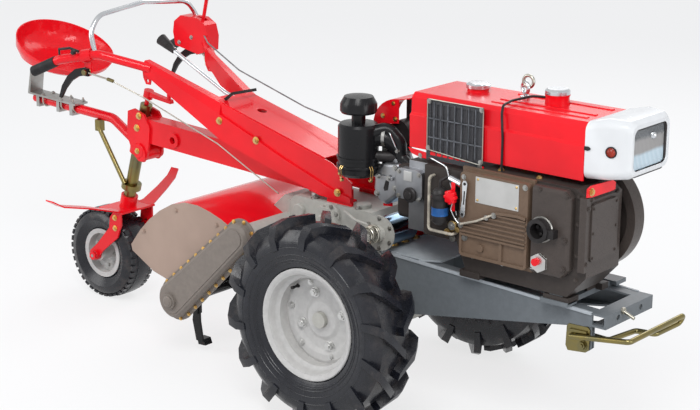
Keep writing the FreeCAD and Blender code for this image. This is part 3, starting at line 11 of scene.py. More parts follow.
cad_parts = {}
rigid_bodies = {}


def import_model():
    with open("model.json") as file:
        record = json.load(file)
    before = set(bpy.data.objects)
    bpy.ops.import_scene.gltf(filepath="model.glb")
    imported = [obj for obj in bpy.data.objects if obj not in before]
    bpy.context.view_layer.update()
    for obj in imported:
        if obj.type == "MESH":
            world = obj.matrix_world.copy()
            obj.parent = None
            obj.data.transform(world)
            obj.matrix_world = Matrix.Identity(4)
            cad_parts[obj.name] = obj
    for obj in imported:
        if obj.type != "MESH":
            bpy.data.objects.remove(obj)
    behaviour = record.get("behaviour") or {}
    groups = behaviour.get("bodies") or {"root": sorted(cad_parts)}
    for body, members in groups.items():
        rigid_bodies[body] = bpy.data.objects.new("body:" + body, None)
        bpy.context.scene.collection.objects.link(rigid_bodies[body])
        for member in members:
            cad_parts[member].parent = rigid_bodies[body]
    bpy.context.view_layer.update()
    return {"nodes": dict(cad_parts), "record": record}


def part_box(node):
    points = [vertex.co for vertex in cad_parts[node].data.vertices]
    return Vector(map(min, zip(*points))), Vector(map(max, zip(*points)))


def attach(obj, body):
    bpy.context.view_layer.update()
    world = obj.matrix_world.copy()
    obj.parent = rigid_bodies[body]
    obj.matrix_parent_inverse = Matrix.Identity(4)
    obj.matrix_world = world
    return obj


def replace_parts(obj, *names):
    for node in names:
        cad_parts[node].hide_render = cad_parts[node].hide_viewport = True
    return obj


bl_info = {
    "name": "Walking tractor looks",
    "version": (1, 0, 0),
    "blender": (4, 5, 0),
    "location": "3D View > Sidebar > Tractor",
    "description": "Finishes, fastenings and small parts of a walking tractor",
    "category": "Object",
}

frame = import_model()
MM = 0.001


def middle(node):
    low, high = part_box(node)
    return (Vector(low) + Vector(high)) / 2.0


AXLE_X = middle("right_drive_tyre").x


def at(x, y, z):
    """A place in millimetres from the ground below the drive axle, as a point of the frame."""
    return Vector((x * MM + AXLE_X, y * MM, z * MM))


# Directions, and places in millimetres that more than one piece shares

NEAR = (0.0, -1.0, 0.0)
FAR = (0.0, 1.0, 0.0)
UP = (0.0, 0.0, 1.0)
FORE = (1.0, 0.0, 0.0)

# distance of a wheel's disc from the middle, height of the axle, widest place of the tyre
TRACK = 403.0
WHEEL_Z = 318.0
TYRE_SIDE = 487.0
# tail wheel's axle, and the engine's and the clutch's shafts, as X and Z
TAIL_AXLE = (-1342, 165)
CRANK = (612, 664)
CLUTCH = (14.0, 528.0)
# upright axes of the fuel filter and the air cleaner, as X and Y
FILTER = (262, -180)
CLEANER = (-86, -130)
LIFTING_EYE = (412.0, 30.0, 1020.0)
SIGNAL_AT = (784, -115.5, 899)
SIGNAL_WAY = (0.24, -0.97, 0.0)
# Y of the gear cover's field and of the grille's face, and the air cleaner's radius
COVER_Y = -182.0
GRILLE_Y = -134.0
CLEANER_R = 62.0


# Sizes and places that a user would change

def size_prop(name, description, default):
    return FloatProperty(name=name, description=description, default=default, unit="LENGTH", min=0.0)


def colour_prop(name, description, default):
    return FloatVectorProperty(name=name, description=description, default=default, subtype="COLOR", size=3,
                               min=0.0, max=1.0)


class TractorPaint(bpy.types.PropertyGroup):
    """Colours of the finishes, as linear values."""
    red: colour_prop("Red enamel", "Hood, handlebar, seat and tiller hood", (0.79, 0.006, 0.014))
    grey: colour_prop("Frame grey", "Chassis rails", (0.145, 0.160, 0.170))
    cream: colour_prop("Casting grey", "Gearbox and its tubes", (0.42, 0.41, 0.37))
    cover: colour_prop("Engine cover", "Gear cover and start housing", (0.150, 0.100, 0.068))
    case: colour_prop("Engine case", "Start housing and front lid", (0.062, 0.050, 0.044))
    block: colour_prop("Engine block", "Crankcase casting", (0.045, 0.037, 0.033))
    black: colour_prop("Black paint", "Air cleaner, levers and tines", (0.010, 0.010, 0.011))
    wheel: colour_prop("Wheel paint", "Rims and discs", (0.50, 0.49, 0.47))
    lamp: colour_prop("Lamp housing", "White enamel of the headlamp housing", (0.70, 0.71, 0.71))
    brown: colour_prop("Tiller brown", "Chain case", (0.21, 0.18, 0.155))
    taupe: colour_prop("Side plate", "End plates of the tiller hood", (0.37, 0.27, 0.215))
    rubber: colour_prop("Tyre rubber", "Tread and side walls", (0.010, 0.011, 0.016))
    dust: colour_prop("Field dust", "Dust in the tread and on low parts", (0.15, 0.115, 0.085))


class TractorSizes(bpy.types.PropertyGroup):
    """Sizes of what is added to the frame."""
    bolt: size_prop("Bolt head", "Radius of an ordinary bolt head", 0.0075)
    lift: FloatProperty(name="Lamp strength", description="Strength of the studio lamps", default=1.0, min=0.0)


# Shader maths

class Value:
    """A number carried by a socket; its operators add Math nodes."""

    def __init__(self, shade, socket):
        self.shade = shade
        self.socket = socket

    def _math(self, operation, first, second):
        return self.shade.node("ShaderNodeMath", {"operation": operation}, [first, second])

    def __add__(self, other):
        return self._math("ADD", self, other)

    def __radd__(self, other):
        return self._math("ADD", other, self)

    def __sub__(self, other):
        return self._math("SUBTRACT", self, other)

    def __rsub__(self, other):
        return self._math("SUBTRACT", other, self)

    def __mul__(self, other):
        return self._math("MULTIPLY", self, other)

    def __rmul__(self, other):
        return self._math("MULTIPLY", other, self)

    def __truediv__(self, other):
        return self._math("DIVIDE", self, other)


class Shade:
    """One procedural material: a Principled shader and the nodes that feed it."""

    def __init__(self, name):
        self.material = bpy.data.materials.new(name)
        self.material.use_nodes = True
        self.tree = self.material.node_tree
        self.tree.nodes.clear()
        self.shader = self.tree.nodes.new("ShaderNodeBsdfPrincipled")
        out = self.tree.nodes.new("ShaderNodeOutputMaterial")
        self.tree.links.new(self.shader.outputs[0], out.inputs[0])
        self.place = self.node("ShaderNodeTexCoord", output="Object")

    def node(self, kind, settings=None, sockets=(), output=0):
        """Adds a node: settings first, then its sockets, by order or by name; gives one output."""
        made = self.tree.nodes.new(kind)
        for key, value in (settings or {}).items():
            setattr(made, key, value)
        pairs = sockets.items() if isinstance(sockets, dict) else enumerate(sockets)
        for key, value in pairs:
            self.feed(made.inputs[key], value)
        return Value(self, made.outputs[output])

    def feed(self, socket, value):
        if isinstance(value, Value):
            self.tree.links.new(value.socket, socket)
        elif value is not None:
            socket.default_value = value

    def noise(self, scale, detail, rough=0.55):
        return self.node("ShaderNodeTexNoise", sockets={"Vector": self.place, "Scale": scale, "Detail": detail,
                                                        "Roughness": rough})

    def wave(self, value):
        return self.node("ShaderNodeMath", {"operation": "SINE"}, [value])

    def band(self, value, low, high):
        """0 below low, 1 above high, soft between."""
        return self.node("ShaderNodeMapRange", {"interpolation_type": "SMOOTHSTEP"},
                         {"Value": value, "From Min": low, "From Max": high})

    def blend(self, mask, first, second):
        made = self.tree.nodes.new("ShaderNodeMix")
        made.data_type = "RGBA"
        self.feed(made.inputs[0], mask)
        self.feed(made.inputs[6], rgba(first))
        self.feed(made.inputs[7], rgba(second))
        return Value(self, made.outputs[2])

    def height(self, value, depth, strength):
        """A Bump node; depth in metres."""
        return self.node("ShaderNodeBump", sockets={"Height": value, "Distance": depth, "Strength": strength})

    def axis(self, name):
        split = self.tree.nodes.new("ShaderNodeSeparateXYZ")
        self.feed(split.inputs[0], self.place)
        return Value(self, split.outputs["XYZ".index(name)])

    def done(self, colour, rough, metal=0.0, normal=None, coat=0.0, coat_rough=0.1, specular=0.5):
        ports = self.shader.inputs
        self.feed(ports["Base Color"], rgba(colour))
        self.feed(ports["Roughness"], rough)
        self.feed(ports["Metallic"], metal)
        self.feed(ports["Coat Weight"], coat)
        ports["Coat Roughness"].default_value = coat_rough
        ports["Specular IOR Level"].default_value = specular
        if normal is not None:
            self.feed(ports["Normal"], normal)
        return self.material


def rgba(colour):
    if isinstance(colour, Value) or colour is None:
        return colour
    return (*colour[:3], 1.0)


def shade_of(colour, factor):
    return tuple(min(1.0, c * factor) for c in colour)


# Finishes

FINISH = {}


def enamel(name, colour, dust, gloss=0.20, dirty=0.25, coat=0.5):
    """Sprayed gloss enamel with slight orange peel, and dust that grows towards the ground."""
    s = Shade(name)
    cloud = s.noise(5.0, 3.0)
    tone = s.blend(s.band(cloud, 0.35, 0.7), shade_of(colour, 0.92), shade_of(colour, 1.06))
    low = 1.0 - s.band(s.axis("Z"), 0.10, 0.60)
    grime = s.band(s.noise(52.0, 6.0, 0.7), 0.56, 0.80) * low * dirty
    tone = s.blend(grime, tone, dust)
    rough = s.noise(60.0, 3.0) * 0.08 + gloss + grime * 0.35
    peel = s.height(s.noise(420.0, 2.0), 0.00008, 0.2)
    return s.done(tone, rough, normal=peel, coat=coat * 0.4, coat_rough=0.06, specular=0.2)


def cast_paint(name, colour, dust, rough=0.42, grain=0.0006, stained=0.22):
    """Painted sand casting: fine grain, soft dents, dust in the hollows."""
    s = Shade(name)
    grains = s.noise(310.0, 4.0, 0.65)
    dents = s.noise(60.0, 3.0)
    tone = s.blend(s.band(dents, 0.3, 0.72), shade_of(colour, 0.94), shade_of(colour, 1.05))
    tone = s.blend(s.band(grains, 0.55, 0.75) * 0.4, tone, shade_of(colour, 0.84))
    stain = s.band(s.noise(30.0, 6.0, 0.7), 0.60, 0.84) * stained
    tone = s.blend(stain, tone, dust)
    normal = s.height(grains * 0.7 + dents * 0.6, grain, 0.5)
    return s.done(tone, grains * 0.18 + rough - 0.06, normal=normal, coat=0.04, coat_rough=0.3, specular=0.2)


def tyre_rubber(name, colour, dust, hub, tread_at, top_at):
    """Rubber with dust low in the tread; hub is the axle's place, radii in metres."""
    s = Shade(name)
    across = s.node("ShaderNodeVectorMath", {"operation": "SUBTRACT"}, [s.place, tuple(hub)])
    flat = s.node("ShaderNodeVectorMath", {"operation": "MULTIPLY"}, [across, (1.0, 0.0, 1.0)])
    radius = s.node("ShaderNodeVectorMath", {"operation": "LENGTH"}, [flat], output="Value")
    low = s.band(radius, tread_at - 0.05, tread_at) * (1.0 - s.band(radius, tread_at + 0.004, top_at))
    cloud = s.band(s.noise(26.0, 6.0, 0.7), 0.42, 0.74)
    fleck = s.band(s.noise(150.0, 4.0, 0.7), 0.54, 0.78)
    mask = low * cloud * 0.22 + fleck * cloud * 0.08
    tone = s.blend(mask, s.blend(cloud, shade_of(colour, 0.85), shade_of(colour, 1.25)), dust)
    rings = s.wave(radius * 1100.0) * 0.12 * (1.0 - s.band(radius, tread_at - 0.05, tread_at))
    normal = s.height(s.noise(380.0, 3.0) * 0.6 + rings, 0.0005, 0.5)
    return s.done(tone, s.noise(90.0, 3.0) * 0.16 + 0.20, normal=normal, specular=0.42)


def plated(name, colour, tint, rough=0.24, dirty=0.3):
    """Zinc or chrome plating whose colour wanders, with fine rub marks."""
    s = Shade(name)
    wander = s.band(s.noise(14.0, 4.0), 0.32, 0.72)
    tone = s.blend(wander, colour, tint)
    stain = s.band(s.noise(46.0, 6.0, 0.7), 0.60, 0.85) * dirty
    tone = s.blend(stain, tone, shade_of(colour, 0.35))
    rub = s.node("ShaderNodeTexNoise", sockets={
        "Vector": s.node("ShaderNodeMapping", sockets={"Vector": s.place, "Scale": (30.0, 600.0, 600.0)}),
        "Scale": 1.0, "Detail": 3.0})
    return s.done(tone, rub * 0.12 + rough + stain * 0.4, metal=1.0, normal=s.height(rub, 0.0001, 0.2))


def dark_plastic(name, colour, rough=0.45):
    """Plastic, rubber hose or thin matt paint with a fine grain."""
    s = Shade(name)
    grain = s.noise(500.0, 3.0)
    tone = s.blend(s.band(s.noise(30.0, 4.0), 0.4, 0.7), shade_of(colour, 0.8), shade_of(colour, 1.5))
    return s.done(tone, grain * 0.2 + rough, normal=s.height(grain, 0.0003, 0.5), specular=0.25)


def lens(name):
    """Fluted glass with painted reflections: a bright lower third, a tan middle and a dark top, with painted glints
    along the flutes.
    """
    s = Shade(name)
    low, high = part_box("head_lamp")
    tall = high[2] - low[2]
    up = (s.axis("Z") - low[2]) / tall + s.noise(9.0, 2.0) * 0.10 - 0.05
    flutes = s.wave(s.axis("Y") * 900.0)
    # painted glints: each flute is lighter on one side
    bright = s.blend(s.band(flutes, -0.6, 0.9), (0.40, 0.56, 0.66), (0.74, 0.86, 0.92))
    # painted reflections by height: bright below, tan in the middle, dark at the top
    tone = s.blend(s.band(up, 0.40, 0.50), bright, (0.30, 0.29, 0.28))
    tone = s.blend(s.band(up, 0.70, 0.82), tone, (0.05, 0.06, 0.07))
    return s.done(tone, 0.10, metal=0.25, normal=s.height(flutes, 0.0008, 0.6), coat=1.0, coat_rough=0.02)


def wire_mesh(name, colour):
    """Woven wire behind the grille bars, the gaps between the wires painted near black as the shade behind the mesh."""
    s = Shade(name)
    weave = s.band(s.wave(s.axis("X") * 1500.0) * s.wave(s.axis("Z") * 1500.0), -0.1, 0.6)
    # the wires in their own dark grey, the gaps painted near black as shade
    tone = s.blend(weave, shade_of(colour, 0.4), shade_of(colour, 7.0))
    return s.done(tone, 0.55, normal=s.height(weave, 0.001, 0.8))


def make_finishes(paint):
    dust = paint.dust
    FINISH.update({
        "red": enamel("red_enamel", paint.red, dust),
        "lamp": enamel("lamp_enamel", paint.lamp, dust, gloss=0.22, dirty=0.05),
        "grey": cast_paint("frame_grey", paint.grey, dust, rough=0.40, grain=0.0002),
        "cream": cast_paint("gearbox_grey", paint.cream, dust),
        "cover": cast_paint("cover_alloy", paint.cover, dust, rough=0.34, grain=0.0006),
        "case": cast_paint("case_casting", paint.case, dust, rough=0.26, grain=0.0004),
        "block": cast_paint("engine_casting", paint.block, dust),
        "wheel": cast_paint("wheel_paint", paint.wheel, dust, rough=0.34, grain=0.0001, stained=0.08),
        "brown": cast_paint("tiller_brown", paint.brown, dust, rough=0.45, grain=0.0002, stained=0.1),
        "taupe": enamel("side_plate_taupe", paint.taupe, dust, gloss=0.42, dirty=0.1, coat=0.1),
        "black": enamel("black_paint", paint.black, dust, gloss=0.22, dirty=0.15, coat=0.12),
        "zinc": plated("zinc_plating", (0.50, 0.49, 0.44), (0.42, 0.40, 0.34)),
        "gold": plated("yellow_zinc", (0.25, 0.20, 0.07), (0.17, 0.16, 0.09), rough=0.24),
        "bright": plated("bright_plating", (0.66, 0.68, 0.70), (0.56, 0.58, 0.61), rough=0.12, dirty=0.08),
        # the blue of the polished barrel is a painted reflection of the sky
        "blue_painted_reflection": plated("polished_barrel_painted_sky_reflection", (0.13, 0.21, 0.31), (0.26, 0.33, 0.40), rough=0.12, dirty=0.12),
        "steel": plated("bolt_steel", (0.42, 0.42, 0.41), (0.30, 0.29, 0.27), rough=0.32),
        "brass": plated("brass_bolts", (0.66, 0.46, 0.18), (0.52, 0.36, 0.16), rough=0.26),
        "plate": plated("blank_plate", (0.62, 0.62, 0.61), (0.54, 0.54, 0.53), rough=0.30, dirty=0.1),
        "alloy": plated("dull_alloy", (0.40, 0.41, 0.43), (0.28, 0.29, 0.31), rough=0.34, dirty=0.4),
        "bars": dark_plastic("grille_bars", (0.10, 0.105, 0.115), 0.25),
        # grey lightened as painted sky light, for the gusset plate's top and the rails' top edges
        "painted_light_grey": cast_paint("grey_with_painted_sky_light", (0.40, 0.43, 0.45), dust, rough=0.28, grain=0.0002),
        "pipe": dark_plastic("fuel_hose", (0.42, 0.38, 0.31), 0.35),
        "cable": dark_plastic("cable_sheath", (0.20, 0.20, 0.20), 0.4),
        "blue": dark_plastic("blue_band", (0.02, 0.10, 0.30), 0.3),
        "amber": dark_plastic("signal_lens", (0.30, 0.03, 0.015), 0.12),
        "hose": dark_plastic("hose_rubber", (0.016, 0.016, 0.017), 0.35),
        # dark paint of real parts, and painted shade for the slots, holes and openings that use it
        "dark": dark_plastic("dark_paint_and_painted_shade", (0.020, 0.018, 0.018), 0.32),
        "grip": dark_plastic("grip_rubber", (0.012, 0.012, 0.013)),
        "lens": lens("lamp_lens_painted_reflections"),
        "mesh": wire_mesh("grille_mesh", (0.016, 0.016, 0.018)),
    })
    # columns: finish, node it belongs to, radii of the tread's foot and top in metres
    for key, node, foot, top in (("right_tyre", "right_drive_tyre", 0.291, 0.318),
                                 ("left_tyre", "left_drive_tyre", 0.291, 0.318),
                                 ("tail_tyre", "tail_tyre", 0.150, 0.165)):
        FINISH[key] = tyre_rubber(key + "_rubber", paint.rubber, dust, middle(node), foot, top)


# Meshes


def new_piece(name, mesh, finish, body, smooth):
    """Puts a finished mesh in the scene on a body."""
    mesh = evened(mesh, smooth)
    mesh.name = name
    mesh.materials.clear()
    mesh.materials.append(FINISH[finish])
    piece = bpy.data.objects.new(name, mesh)
    bpy.context.scene.collection.objects.link(piece)
    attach(piece, body)
    return piece


def at_work(mesh):
    """An object that carries a mesh while a modifier runs."""
    work = bpy.data.objects.new("work", mesh)
    bpy.context.scene.collection.objects.link(work)
    return work


def settled(obj):
    """The evaluated mesh of an object as a plain mesh; the object is removed."""
    graph = bpy.context.evaluated_depsgraph_get()
    mesh = bpy.data.meshes.new_from_object(obj.evaluated_get(graph), depsgraph=graph)
    bpy.data.objects.remove(obj)
    return mesh


def edged(mesh, width, segments=2):
    """Mesh with its sharp edges rounded."""
    work = at_work(mesh)
    bevel = work.modifiers.new("edge", "BEVEL")
    bevel.width = width
    bevel.segments = segments
    bevel.limit_method = "ANGLE"
    bevel.angle_limit = math.radians(32.0)
    return settled(work)


def evened(mesh, smooth):
    """Mesh shaded smooth up to an angle, with the normals of its large faces kept flat."""
    mesh.shade_smooth()
    mesh.set_sharp_from_angle(angle=math.radians(smooth))
    work = at_work(mesh)
    even = work.modifiers.new("even", "WEIGHTED_NORMAL")
    even.keep_sharp = True
    return settled(work)


def rounded_path(points, bend, steps):
    """Polyline through the corners of points, each turned into an arc."""
    pts = [Vector(p) for p in points]
    out = [pts[0]]
    for a, b, c in zip(pts, pts[1:], pts[2:]):
        u = (a - b).normalized()
        w = (c - b).normalized()
        half = u.angle(w) / 2.0
        cut = min(bend / math.tan(half), 0.48 * min((a - b).length, (c - b).length))
        for i in range(steps + 1):
            t = i / steps
            out.append((b + u * cut) * (1 - t) ** 2 + b * 2 * t * (1 - t) + (b + w * cut) * t ** 2)
    out.append(pts[-1])
    return out


def ring_round(spot, side, up, r, sides):
    """Places on a circle round a spot."""
    turns = [2 * math.pi * k / sides for k in range(sides)]
    return [spot + side * (r * math.cos(t)) + up * (r * math.sin(t)) for t in turns]


class Build:
    """Gathers the forms of one piece; places are millimetres of the design frame."""

    def __init__(self):
        self.verts = []
        self.faces = []

    def add(self, verts, faces):
        first = len(self.verts)
        self.verts += [Vector(v) for v in verts]
        self.faces += [[first + i for i in face] for face in faces]
        return self

    def block(self, x0, x1, y0, y1, z0, z1):
        verts = [(x, y, z) for x in (x0, x1) for y in (y0, y1) for z in (z0, z1)]
        return self.add(verts, [(0, 1, 3, 2), (4, 6, 7, 5), (0, 4, 5, 1), (2, 3, 7, 6), (0, 2, 6, 4), (1, 5, 7, 3)])

    def prism(self, first, last):
        """Two outlines with as many corners each, and the sides between them."""
        n = len(first)
        sides = [(i, (i + 1) % n, n + (i + 1) % n, n + i) for i in range(n)]
        return self.add(first + last, [tuple(range(n))[::-1], tuple(range(n, 2 * n))] + sides)

    def slab(self, outline, y0, y1):
        """Closed outline in X and Z between two Y."""
        return self.prism([(x, y0, z) for x, z in outline], [(x, y1, z) for x, z in outline])

    def lathe(self, profile, origin, axis, steps):
        """Outline of (distance along the axis, radius), turned; it starts and ends on the axis or meets itself."""
        aim = Vector(axis).normalized()
        turn = aim.to_track_quat("Z", "Y")
        rows = []
        for along, radius in profile:
            count = 1 if radius < 1e-6 else steps
            row = []
            for i in range(count):
                t = 2 * math.pi * i / steps
                spot = Vector((radius * math.cos(t), radius * math.sin(t), along))
                row.append(turn @ spot + Vector(origin))
            rows.append(row)
        verts = [v for row in rows for v in row]
        starts = [sum(len(r) for r in rows[:k]) for k in range(len(rows))]
        faces = []
        pairs = list(zip(range(len(rows)), range(1, len(rows))))
        if len(rows[0]) > 1:
            pairs.append((len(rows) - 1, 0))
        for a, b in pairs:
            for i in range(steps):
                j = (i + 1) % steps
                if len(rows[a]) == 1 and len(rows[b]) == 1:
                    continue
                if len(rows[a]) == 1:
                    faces.append((starts[a], starts[b] + i, starts[b] + j))
                elif len(rows[b]) == 1:
                    faces.append((starts[a] + i, starts[b], starts[a] + j))
                else:
                    faces.append((starts[a] + i, starts[b] + i, starts[b] + j, starts[a] + j))
        return self.add(verts, faces)

    def disc(self, origin, axis, r, thick, steps, chamfer=0.0):
        rim = [(thick - chamfer, r), (thick, r - chamfer)] if chamfer else [(thick, r)]
        return self.lathe([(0, 0), (0, r), *rim, (thick, 0)], origin, axis, steps)

    def rings(self, rings, closed):
        """Joins rings of places with as many places each; a closed row meets itself, an open one gets ends."""
        sides = len(rings[0])
        verts = [v for ring in rings for v in ring]
        faces = [] if closed else [tuple(range(sides))[::-1], tuple(range(len(verts) - sides, len(verts)))]
        for a in range(len(rings) - (0 if closed else 1)):
            b = (a + 1) % len(rings)
            for k in range(sides):
                j = (k + 1) % sides
                faces.append((a * sides + k, a * sides + j, b * sides + j, b * sides + k))
        return self.add(verts, faces)

    def tube(self, points, r, bend=0.0, sides=12, steps=6):
        """Round bar along a path, its ends closed."""
        path = rounded_path(points, bend, steps) if bend else [Vector(p) for p in points]
        ahead = (path[1] - path[0]).normalized()
        side = ahead.orthogonal().normalized()
        rings = []
        for i, spot in enumerate(path):
            if i == 0:
                way = path[1] - path[0]
            elif i == len(path) - 1:
                way = path[-1] - path[-2]
            else:
                way = (path[i + 1] - path[i]).normalized() + (path[i] - path[i - 1]).normalized()
            way.normalize()
            side = (side - way * side.dot(way)).normalized()
            rings.append(ring_round(spot, side, way.cross(side), r, sides))
        return self.rings(rings, False)

    def hoop(self, points, r, sides):
        """Round bar along a closed path."""
        path = [Vector(p) for p in points]
        n = len(path)
        centre = sum(path, Vector()) / n
        rings = []
        for i, spot in enumerate(path):
            way = (path[(i + 1) % n] - path[i - 1]).normalized()
            side = spot - centre
            side = (side - way * side.dot(way)).normalized()
            rings.append(ring_round(spot, side, way.cross(side), r, sides))
        return self.rings(rings, True)

    def mirrored(self):
        """Adds the same forms on the other side of the machine."""
        verts = [Vector((v.x, -v.y, v.z)) for v in self.verts]
        faces = [face[::-1] for face in self.faces]
        return self.add(verts, faces)

    def mesh(self, name, edge, segments):
        mesh = bpy.data.meshes.new(name)
        mesh.from_pydata([at(*v) for v in self.verts], [], self.faces)
        bm = bmesh.new()
        bm.from_mesh(mesh)
        bmesh.ops.recalc_face_normals(bm, faces=bm.faces)
        bm.to_mesh(mesh)
        bm.free()
        return edged(mesh, edge * MM, segments) if edge else mesh

    def piece(self, name, finish, body="frame", edge=0.0, smooth=40.0, segments=2):
        return new_piece(name, self.mesh(name, edge, segments), finish, body, smooth)


def copied_mesh(node):
    """Welded copy of a node's mesh, flat areas merged."""
    bm = bmesh.new()
    bm.from_mesh(frame["nodes"][node].data)
    bmesh.ops.remove_doubles(bm, verts=bm.verts, dist=2e-5)
    bmesh.ops.dissolve_limit(bm, angle_limit=math.radians(0.8), verts=bm.verts, edges=bm.edges)
    mesh = bpy.data.meshes.new(node + "_soft")
    bm.to_mesh(mesh)
    bm.free()
    for extra in [a.name for a in mesh.attributes if a.name == "custom_normal"]:
        mesh.attributes.remove(mesh.attributes[extra])
    return mesh


def dressed(node, finish, width, regions, smooth):
    """Stands for a node with the same shape, its edges rounded, and other finishes where a rule holds."""
    mesh = copied_mesh(node)
    if width:
        mesh = edged(mesh, width * MM)
    piece = new_piece(node + "_dressed", mesh, finish, BODY_OF[node], smooth)
    for index, (other, rule) in enumerate(regions):
        piece.data.materials.append(FINISH[other])
        for face in piece.data.polygons:
            spot = face.center
            if rule((spot.x - AXLE_X) / MM, spot.y / MM, spot.z / MM):
                face.material_index = index + 1
    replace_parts(piece, node)
    return piece


# Geometry Nodes

class Grower:
    """A Geometry Nodes tree with named inputs; it ends in Realize Instances and Set Material."""

    def __init__(self, name):
        self.tree = bpy.data.node_groups.new(name, "GeometryNodeTree")
        self.ids = {}
        face = self.tree.interface
        face.new_socket("Geometry", in_out="INPUT", socket_type="NodeSocketGeometry")
        face.new_socket("Geometry", in_out="OUTPUT", socket_type="NodeSocketGeometry")
        self.inside = self.tree.nodes.new("NodeGroupInput")

    def given(self, name, kind, default=None):
        """A named input; gives its socket."""
        made = self.tree.interface.new_socket(name, in_out="INPUT", socket_type=kind)
        if default is not None:
            made.default_value = default
        self.ids[name] = made.identifier
        return self.inside.outputs[name]

    def node(self, kind, settings=None, sockets=None):
        made = self.tree.nodes.new(kind)
        for key, value in (settings or {}).items():
            setattr(made, key, value)
        for key, value in (sockets or {}).items():
            if isinstance(value, bpy.types.NodeSocket):
                self.tree.links.new(value, made.inputs[key])
            else:
                made.inputs[key].default_value = value
        return made

    def close(self, geometry):
        paint = self.given("Finish", "NodeSocketMaterial")
        real = self.node("GeometryNodeRealizeInstances", sockets={"Geometry": geometry})
        skin = self.node("GeometryNodeSetMaterial", sockets={"Geometry": real.outputs[0], "Material": paint})
        out = self.tree.nodes.new("NodeGroupOutput")
        self.tree.links.new(skin.outputs[0], out.inputs[0])
        return self

    def close_on_points(self, shape):
        """Puts a shape on every point, which carries its direction and its size."""
        aim = self.node("GeometryNodeInputNamedAttribute", {"data_type": "FLOAT_VECTOR"}, {"Name": "aim"})
        size = self.node("GeometryNodeInputNamedAttribute", {"data_type": "FLOAT"}, {"Name": "size"})
        turn = self.node("FunctionNodeAlignRotationToVector", {"axis": "Z"}, {"Vector": aim.outputs["Attribute"]})
        spread = self.node("GeometryNodeInstanceOnPoints", sockets={
            "Points": self.inside.outputs["Geometry"], "Instance": shape, "Rotation": turn.outputs[0],
            "Scale": size.outputs["Attribute"]})
        return self.close(spread.outputs[0])

    def grow(self, name, mesh, finish, body, values, smooth=40.0):
        """Runs the tree on a mesh and puts the result on a body."""
        work = at_work(mesh)
        maker = work.modifiers.new("grow", "NODES")
        maker.node_group = self.tree
        maker[self.ids["Finish"]] = FINISH[finish]
        for key, value in values.items():
            maker[self.ids[key]] = value
        work.update_tag()
        return new_piece(name, settled(work), finish, body, smooth)


def bolt_tree():
    """Hexagon heads with washers and stub ends on points."""
    g = Grower("fasteners")
    radius = g.given("Head radius", "NodeSocketFloat", 0.0075)
    height = g.given("Head height", "NodeSocketFloat", 0.005)
    head = g.node("GeometryNodeMeshCylinder", sockets={"Vertices": 6, "Radius": radius, "Depth": height})
    half = g.node("ShaderNodeMath", {"operation": "MULTIPLY"}, {0: height, 1: 0.5})
    lift = g.node("ShaderNodeCombineXYZ", sockets={"Z": half.outputs[0]})
    raised = g.node("GeometryNodeTransform", sockets={"Geometry": head.outputs["Mesh"],
                                                     "Translation": lift.outputs[0]})
    wide = g.node("ShaderNodeMath", {"operation": "MULTIPLY"}, {0: radius, 1: 1.28})
    washer = g.node("GeometryNodeMeshCylinder", sockets={"Vertices": 20, "Radius": wide.outputs[0],
                                                        "Depth": 0.0024})
    slim = g.node("ShaderNodeMath", {"operation": "MULTIPLY"}, {0: radius, 1: 0.5})
    tall = g.node("ShaderNodeMath", {"operation": "MULTIPLY"}, {0: height, 1: 2.7})
    stub = g.node("GeometryNodeMeshCylinder", sockets={"Vertices": 12, "Radius": slim.outputs[0],
                                                      "Depth": tall.outputs[0]})
    whole = g.node("GeometryNodeJoinGeometry")
    for part in (stub.outputs["Mesh"], washer.outputs["Mesh"], raised.outputs[0]):
        g.tree.links.new(part, whole.inputs[0])
    return g.close_on_points(whole.outputs[0])


def rivet_tree():
    """Round heads on points."""
    g = Grower("rivets")
    radius = g.given("Head radius", "NodeSocketFloat", 0.004)
    ball = g.node("GeometryNodeMeshUVSphere", sockets={"Segments": 12, "Rings": 8, "Radius": radius})
    flat = g.node("GeometryNodeTransform", sockets={"Geometry": ball.outputs["Mesh"], "Scale": (1.0, 1.0, 0.55)})
    return g.close_on_points(flat.outputs[0])


def coil_tree():
    """Round wire wound into a spring along Z, then turned and moved to its place."""
    g = Grower("coil")
    turns = g.given("Turns", "NodeSocketFloat", 6.0)
    radius = g.given("Coil radius", "NodeSocketFloat", 0.018)
    length = g.given("Length", "NodeSocketFloat", 0.05)
    wire = g.given("Wire radius", "NodeSocketFloat", 0.002)
    place = g.given("Place", "NodeSocketVector", (0.0, 0.0, 0.0))
    aim = g.given("Direction", "NodeSocketVector", (0.0, 0.0, 1.0))
    spiral = g.node("GeometryNodeCurveSpiral", sockets={"Resolution": 20, "Rotations": turns, "Height": length,
                                                       "Start Radius": radius, "End Radius": radius})
    ring = g.node("GeometryNodeCurvePrimitiveCircle", sockets={"Resolution": 8, "Radius": wire})
    coil = g.node("GeometryNodeCurveToMesh", sockets={"Curve": spiral.outputs[0], "Profile Curve": ring.outputs[0],
                                                     "Fill Caps": True})
    turn = g.node("FunctionNodeAlignRotationToVector", {"axis": "Z"}, {"Vector": aim})
    put = g.node("GeometryNodeTransform", sockets={"Geometry": coil.outputs[0], "Translation": place,
                                                  "Rotation": turn.outputs[0]})
    return g.close(put.outputs[0])


def slat_tree():
    """A row of equal bars: count, size of one bar, first place and step."""
    g = Grower("slats")
    count = g.given("Count", "NodeSocketInt", 8)
    size = g.given("Bar size", "NodeSocketVector", (0.003, 0.003, 0.1))
    first = g.given("First", "NodeSocketVector", (0.0, 0.0, 0.0))
    step = g.given("Step", "NodeSocketVector", (0.02, 0.0, 0.0))
    turn = g.given("Turn", "NodeSocketRotation")
    bar = g.node("GeometryNodeMeshCube", sockets={"Size": size})
    turned = g.node("GeometryNodeTransform", sockets={"Geometry": bar.outputs["Mesh"], "Rotation": turn})
    row = g.node("GeometryNodeMeshLine", {"mode": "OFFSET"}, {"Count": count, "Start Location": first,
                                                              "Offset": step})
    spread = g.node("GeometryNodeInstanceOnPoints", sockets={"Points": row.outputs[0],
                                                             "Instance": turned.outputs[0]})
    return g.close(spread.outputs[0])


